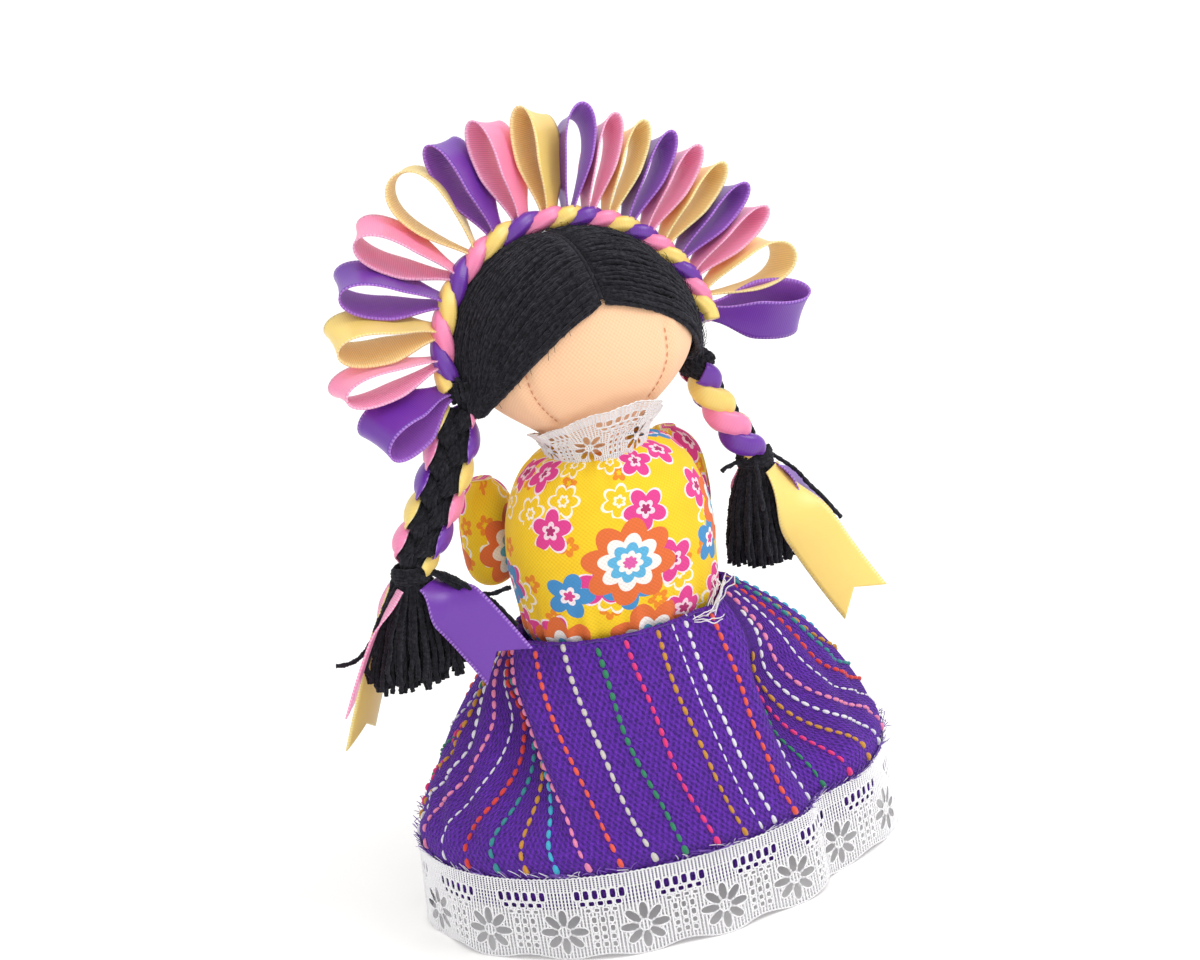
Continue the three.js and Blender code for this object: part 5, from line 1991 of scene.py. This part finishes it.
@dataclass
class Collar:
    """A gathered strip of the same lace round the neckline."""

    wardrobe: Wardrobe
    head: Head
    lace: Lace
    front: float = 9.0
    side: float = 3.6
    left_side: float = 1.2
    repeats: int = 7

    def place(self, share: Array, up: Array) -> Array:
        """Points of the ruffle.

        Args:
            share: Place round the neck from the back, 0 to 1.
            up: Height share from the neckline, 0, to the ruffle's edge, 1.

        Returns:
            Points in mm.
        """
        angle = TAU * share + math.pi / 2
        ahead = np.maximum(0, -np.sin(angle))
        foot = self.head.neckline_z - 0.4 - 1.0 * ahead
        side = mix(self.side, self.left_side, smooth(np.cos(angle), 0.1, 0.8))
        side = side * mix(1, 0.2, smooth(np.sin(angle), -0.25, 0.4))
        top = self.head.neckline_z + 2 + mix(side, self.front, ahead ** 3)
        z = mix(foot, top, up)
        drop = np.clip((self.head.middle_z - z) / self.head.down, 0, 1)
        jaw = self.head.jaw(drop)
        wave = np.cos(15 * angle + 1.5 * np.sin(2 * angle)) + 0.4 * np.cos(29 * angle)
        grow = 1.2 + 0.55 * wave * up + 1.6 * np.abs(np.sin(angle)) * smooth(up, 0, 0.5)
        wide = self.head.half_width * jaw + grow
        deep = mix(self.head.half_width, self.head.half_depth, up) * jaw + grow
        return joined(wide * np.cos(angle), deep * np.sin(angle), z)

    def build(self) -> None:
        """Builds the collar."""
        total = self.repeats * self.lace.repeat
        threads = self.lace.threads(self.repeats)
        lines = []
        widths = []
        for name, width in (("chains", 0.15), ("rungs", 0.09), ("rims", 0.13)):
            for line in threads[name]:
                lines.append(self.place(line[:, 0] / total, line[:, 1] / self.lace.height))
                widths.append(width)
        collar = THREADS.make("collar_lace_threads", lines, self.wardrobe.lace, 1.0, 4, widths=widths)
        settle(collar, "torso", "lace_white", "collar_lace")


@dataclass(frozen=True)
class ThreadBunch:
    """Loose thread ends that stick out together.

    Args:
        count: Number of ends.
        place: Cloth distance from the front panel's middle, in mm.
        lay: Direction in which they lie.
        length: Their length in mm.
    """

    count: int
    place: float
    lay: tuple[float, float, float]
    length: float


@dataclass
class ThreadEnds:
    """Loose sewing threads: the gathering thread at the waist and frayed ends along the hem."""

    wardrobe: Wardrobe
    skirt: Skirt
    gathering: str = "#4A1B96"
    white: str = "#FBFAFC"
    shades: tuple[str, ...] = ("#E9E4F2", "#8A5CCB", "#5B24A6", "#6E35B8")
    frays: int = 420
    bunches: tuple[ThreadBunch, ...] = (
        ThreadBunch(9, 17.5, (0.6, -0.05, 0.8), 8.0),
        ThreadBunch(4, 13.0, (0.9, -0.3, 0.12), 5.5),
        ThreadBunch(3, 11.0, (0.1, -0.1, -1), 3.6),
    )

    def build(self) -> None:
        """Builds the threads."""
        rng = default_rng(SEED + 5)
        self.build_waist(rng)
        self.build_frays(rng)

    def build_waist(self, rng: Generator) -> None:
        """Draws the gathering thread round the waist and leaves its loose ends."""
        top = self.skirt.lace_height + self.skirt.rise
        places = np.linspace(-self.skirt.half_cloth, self.skirt.half_cloth, 300)
        ring = self.skirt.point(places, np.full(places.shape, top - 0.5), 0.05)
        ring[:, 2] += 0.2 * np.sin(places)
        lines = [ring]
        count = 14
        t = np.linspace(0, 1, count)[:, None]
        for bunch in self.bunches:
            for _ in range(bunch.count):
                root = self.skirt.point(bunch.place + rng.normal(0, 1.1), top - rng.uniform(-0.2, 1.4), 0.4)
                lay = unit(np.array(bunch.lay) + rng.normal(0, 0.26, 3))
                reach = lay * bunch.length * rng.uniform(0.6, 1.1)
                sag = joined(*(wander(count, rng) for _ in range(3)))
                lines.append(root + reach * t + 0.4 * sag * t)
        colours = [self.gathering] + [self.white] * (len(lines) - 1)
        ends = THREADS.make("waist_threads", lines, self.wardrobe.sewing, 0.12, 5, taper=0.2, colours=colours)
        settle(ends, "torso", "lace_white", "waist_thread")

    def build_frays(self, rng: Generator) -> None:
        """Frays the cloth's edge over the lace."""
        lines = []
        colours = []
        t = np.linspace(0, 1, 8)[:, None]
        for _ in range(self.frays):
            place = rng.uniform(-1, 1) * self.skirt.half_cloth
            root = self.skirt.point(place, self.skirt.lace_height + rng.uniform(-0.2, 0.5), 0.5)
            turn = math.atan2(root[1], root[0])
            out = unit(np.array([math.cos(turn), math.sin(turn), rng.uniform(0.4, 2.0)]))
            slide = np.array([-math.sin(turn), math.cos(turn), 0]) * rng.normal(0, 1.4)
            lines.append(root + out * rng.uniform(0.6, 2.2) * t + slide * t * t)
            colours.append(self.shades[int(rng.integers(len(self.shades)))])
        fray = THREADS.make("hem_frays", lines, self.wardrobe.sewing, 0.08, 4, taper=0.3, colours=colours)
        settle(fray, "torso", "cotton_skirt")


@dataclass(frozen=True)
class StudioLamp:
    """A square soft lamp aimed at the doll.

    Args:
        name: Lamp name.
        place: Its place in metres.
        size: Its edge in metres.
        power: Its power in watts.
    """

    name: str
    place: tuple[float, float, float]
    size: float
    power: float


@dataclass
class Studio:
    """Floor, lamps and camera."""

    azimuth: float = -20.0
    elevation: float = 19.0
    roll: float = -9.5
    target_z: float = 72.0
    distance: float = 480.0
    focal: float = 2695.0
    middle: tuple[float, float] = (603.0, 490.0)
    frame: tuple[int, int] = (1200, 960)
    sensor: float = 36.0
    floor_reach: float = 6000.0
    floor_colour: str = "#F4F3F1"
    floor_glow: float = 0.2
    aim_z: float = 0.06
    sky: float = 0.94
    lamps: tuple[StudioLamp, ...] = (
        StudioLamp("broad lamp", (0.55, -0.35, 0.75), 0.5, 3.5),
        StudioLamp("soft fill", (-0.35, -0.8, 0.3), 0.9, 1.2),
    )

    def build(self) -> None:
        """Builds the stage."""
        self.build_camera()
        self.build_floor()
        self.build_light()

    def build_camera(self) -> None:
        """Sets the camera at the picture's viewing angle."""
        a, e, r = (math.radians(x) for x in (self.azimuth, self.elevation, self.roll))
        back = Vector((math.sin(a) * math.cos(e), -math.cos(a) * math.cos(e), math.sin(e)))
        right = Vector((0, 0, 1)).cross(back).normalized()
        up = back.cross(right)
        x = right * math.cos(r) + up * math.sin(r)
        y = -right * math.sin(r) + up * math.cos(r)
        data = bpy.data.cameras.new("camera")
        data.sensor_width = self.sensor
        data.lens = self.focal / self.frame[0] * self.sensor
        data.shift_x = (self.frame[0] / 2 - self.middle[0]) / self.frame[0]
        data.shift_y = (self.middle[1] - self.frame[1] / 2) / self.frame[0]
        data.clip_start = 0.01
        data.clip_end = 20
        camera = linked("camera", data)
        place = Vector((0, 0, self.target_z)) + back * self.distance
        rows = [[*axis] for axis in zip(x, y, back)]
        camera.matrix_world = Matrix.Translation(place * MM) @ Matrix(rows).to_4x4()
        bpy.context.scene.camera = camera

    def build_floor(self) -> None:
        """Lays a plain pale floor."""
        reach = self.floor_reach
        corners = [(-reach, -reach, 0), (reach, -reach, 0), (reach, reach, 0), (-reach, reach, 0)]
        material, add, shader = new_material("pale floor")
        rays = add("ShaderNodeLightPath").outputs
        seen = add("ShaderNodeMath", {0: rays["Is Camera Ray"], 1: rays["Is Glossy Ray"]}, operation="ADD")
        glow = add("ShaderNodeMath", {0: seen, 1: self.floor_glow}, operation="MULTIPLY")
        fill(shader, {"Emission Strength": glow, "Emission Color": linear("#FFFFFF")})
        fill(shader, {"Base Color": linear(self.floor_colour), "Roughness": 0.9})
        floor = mesh_object("floor", np.array(corners), [(0, 1, 2, 3)], [material])

    def build_light(self) -> None:
        """Sets soft studio light: a bright sky, a broad lamp from the right and a fill from the front."""
        world = bpy.data.worlds.new("soft sky")
        world.use_nodes = True
        world.node_tree.nodes["Background"].inputs["Color"].default_value = (1, 1, 1, 1)
        world.node_tree.nodes["Background"].inputs["Strength"].default_value = self.sky
        bpy.context.scene.world = world
        for lamp in self.lamps:
            data = bpy.data.lights.new(lamp.name, "AREA")
            data.size = lamp.size
            data.energy = lamp.power
            light = linked(lamp.name, data)
            light.location = lamp.place
            light.rotation_mode = "QUATERNION"
            aim = Vector((0, 0, self.aim_z)) - light.location
            light.rotation_quaternion = aim.to_track_quat("-Z", "Y")
        bpy.context.scene.view_settings.view_transform = "Standard"


def main() -> None:
    """Builds the doll piece by piece."""
    logging.basicConfig(level=logging.INFO, format="%(message)s")
    Studio().build()
    wardrobe = Wardrobe()
    head = Head(wardrobe)
    head.build()
    Hair(wardrobe, head).build()
    Crown(wardrobe, head).build()
    torso = Torso(wardrobe)
    torso.build()
    skirt = Skirt(wardrobe, torso)
    cloth, floats = skirt.build()
    lace = Lace()
    hem = HemLace(wardrobe, skirt, lace).build()
    Collar(wardrobe, head, lace).build()
    ThreadEnds(wardrobe, skirt).build()
    Plait(
        wardrobe,
        Side.RIGHT,
        (-24.14, -1.4, 93.63),
        (-38.01, -1.6, 67.77),
        (
            Tail(Satin.PURPLE, (10.6, -12.8, -17.0), (0.86, -0.13, 0.5), 2),
            Tail(Satin.PINK, (-16, -1.4, -21.3), (0.36, 0.9, -0.2), 3),
            Tail(Satin.GOLD, (-11.2, 13.7, -33.2), (0.6, 0.72, -0.35), 1),
        ),
        (
            (14.1, -8.2, -12.9, 3.6),
            (14.9, -7.2, -12.0, 4.0),
            (13.0, -8.0, -11.0, 4.2),
            (13.4, -8.8, -13.6, 3.2),
            (15.4, -6.6, -5.5, -4.5),
            (-15.4, 3.2, -13.9, -9.0),
        ),
        spread=10,
        sway=-2,
        turn=-20,
        ribbon_arc=140,
        ribbon_front=0.75,
        ribbon_back=1.9,
        root_size=0.74,
    ).build()
    Plait(
        wardrobe,
        Side.LEFT,
        (22.57, 4.64, 91.92),
        (32.2, 5.0, 67.99),
        (
            Tail(Satin.GOLD, (12.4, -12.8, -28.8), (0.93, -0.25, 0.26), -3.2),
            Tail(Satin.PURPLE, (17.2, 3.0, -23.0), (0.57, 0.8, -0.11), 4.0),
            Tail(Satin.PINK, (3.2, 8.2, -15.6), (1, -0.3, 0), 0),
        ),
        ((-7.6, -2.6, 0.2, 0.8), (-3.2, -7.4, -7.6, 1.6), (17.1, 3.4, -17.7, 3.0)),
        spread=7.9,
        sway=-0.5,
        turn=-105,
        ribbon_arc=176,
        ribbon_front=0.0,
        ribbon_back=0.6,
        gather=0.17,
        depth=1.15,
        strand=1.85,
    ).build()
    for side in Side:
        label = side.label
        turn = 50 if side is Side.LEFT else 130
        shoulder = (side.value * 18.29, 12.46, 76.0)
        hip = (side.value * 7.6, 0.0, 43.1)
        Limb(wardrobe, f"arm_print_{label}", f"{label}_arm", shoulder, 20.0, (4.6, 6.9), turn, True).build()
        Limb(wardrobe, f"leg_cotton_{label}", f"{label}_leg", hip, 42.6, (4.85, 4.85), 0, False).build()


if __name__ == "__main__":
    main()
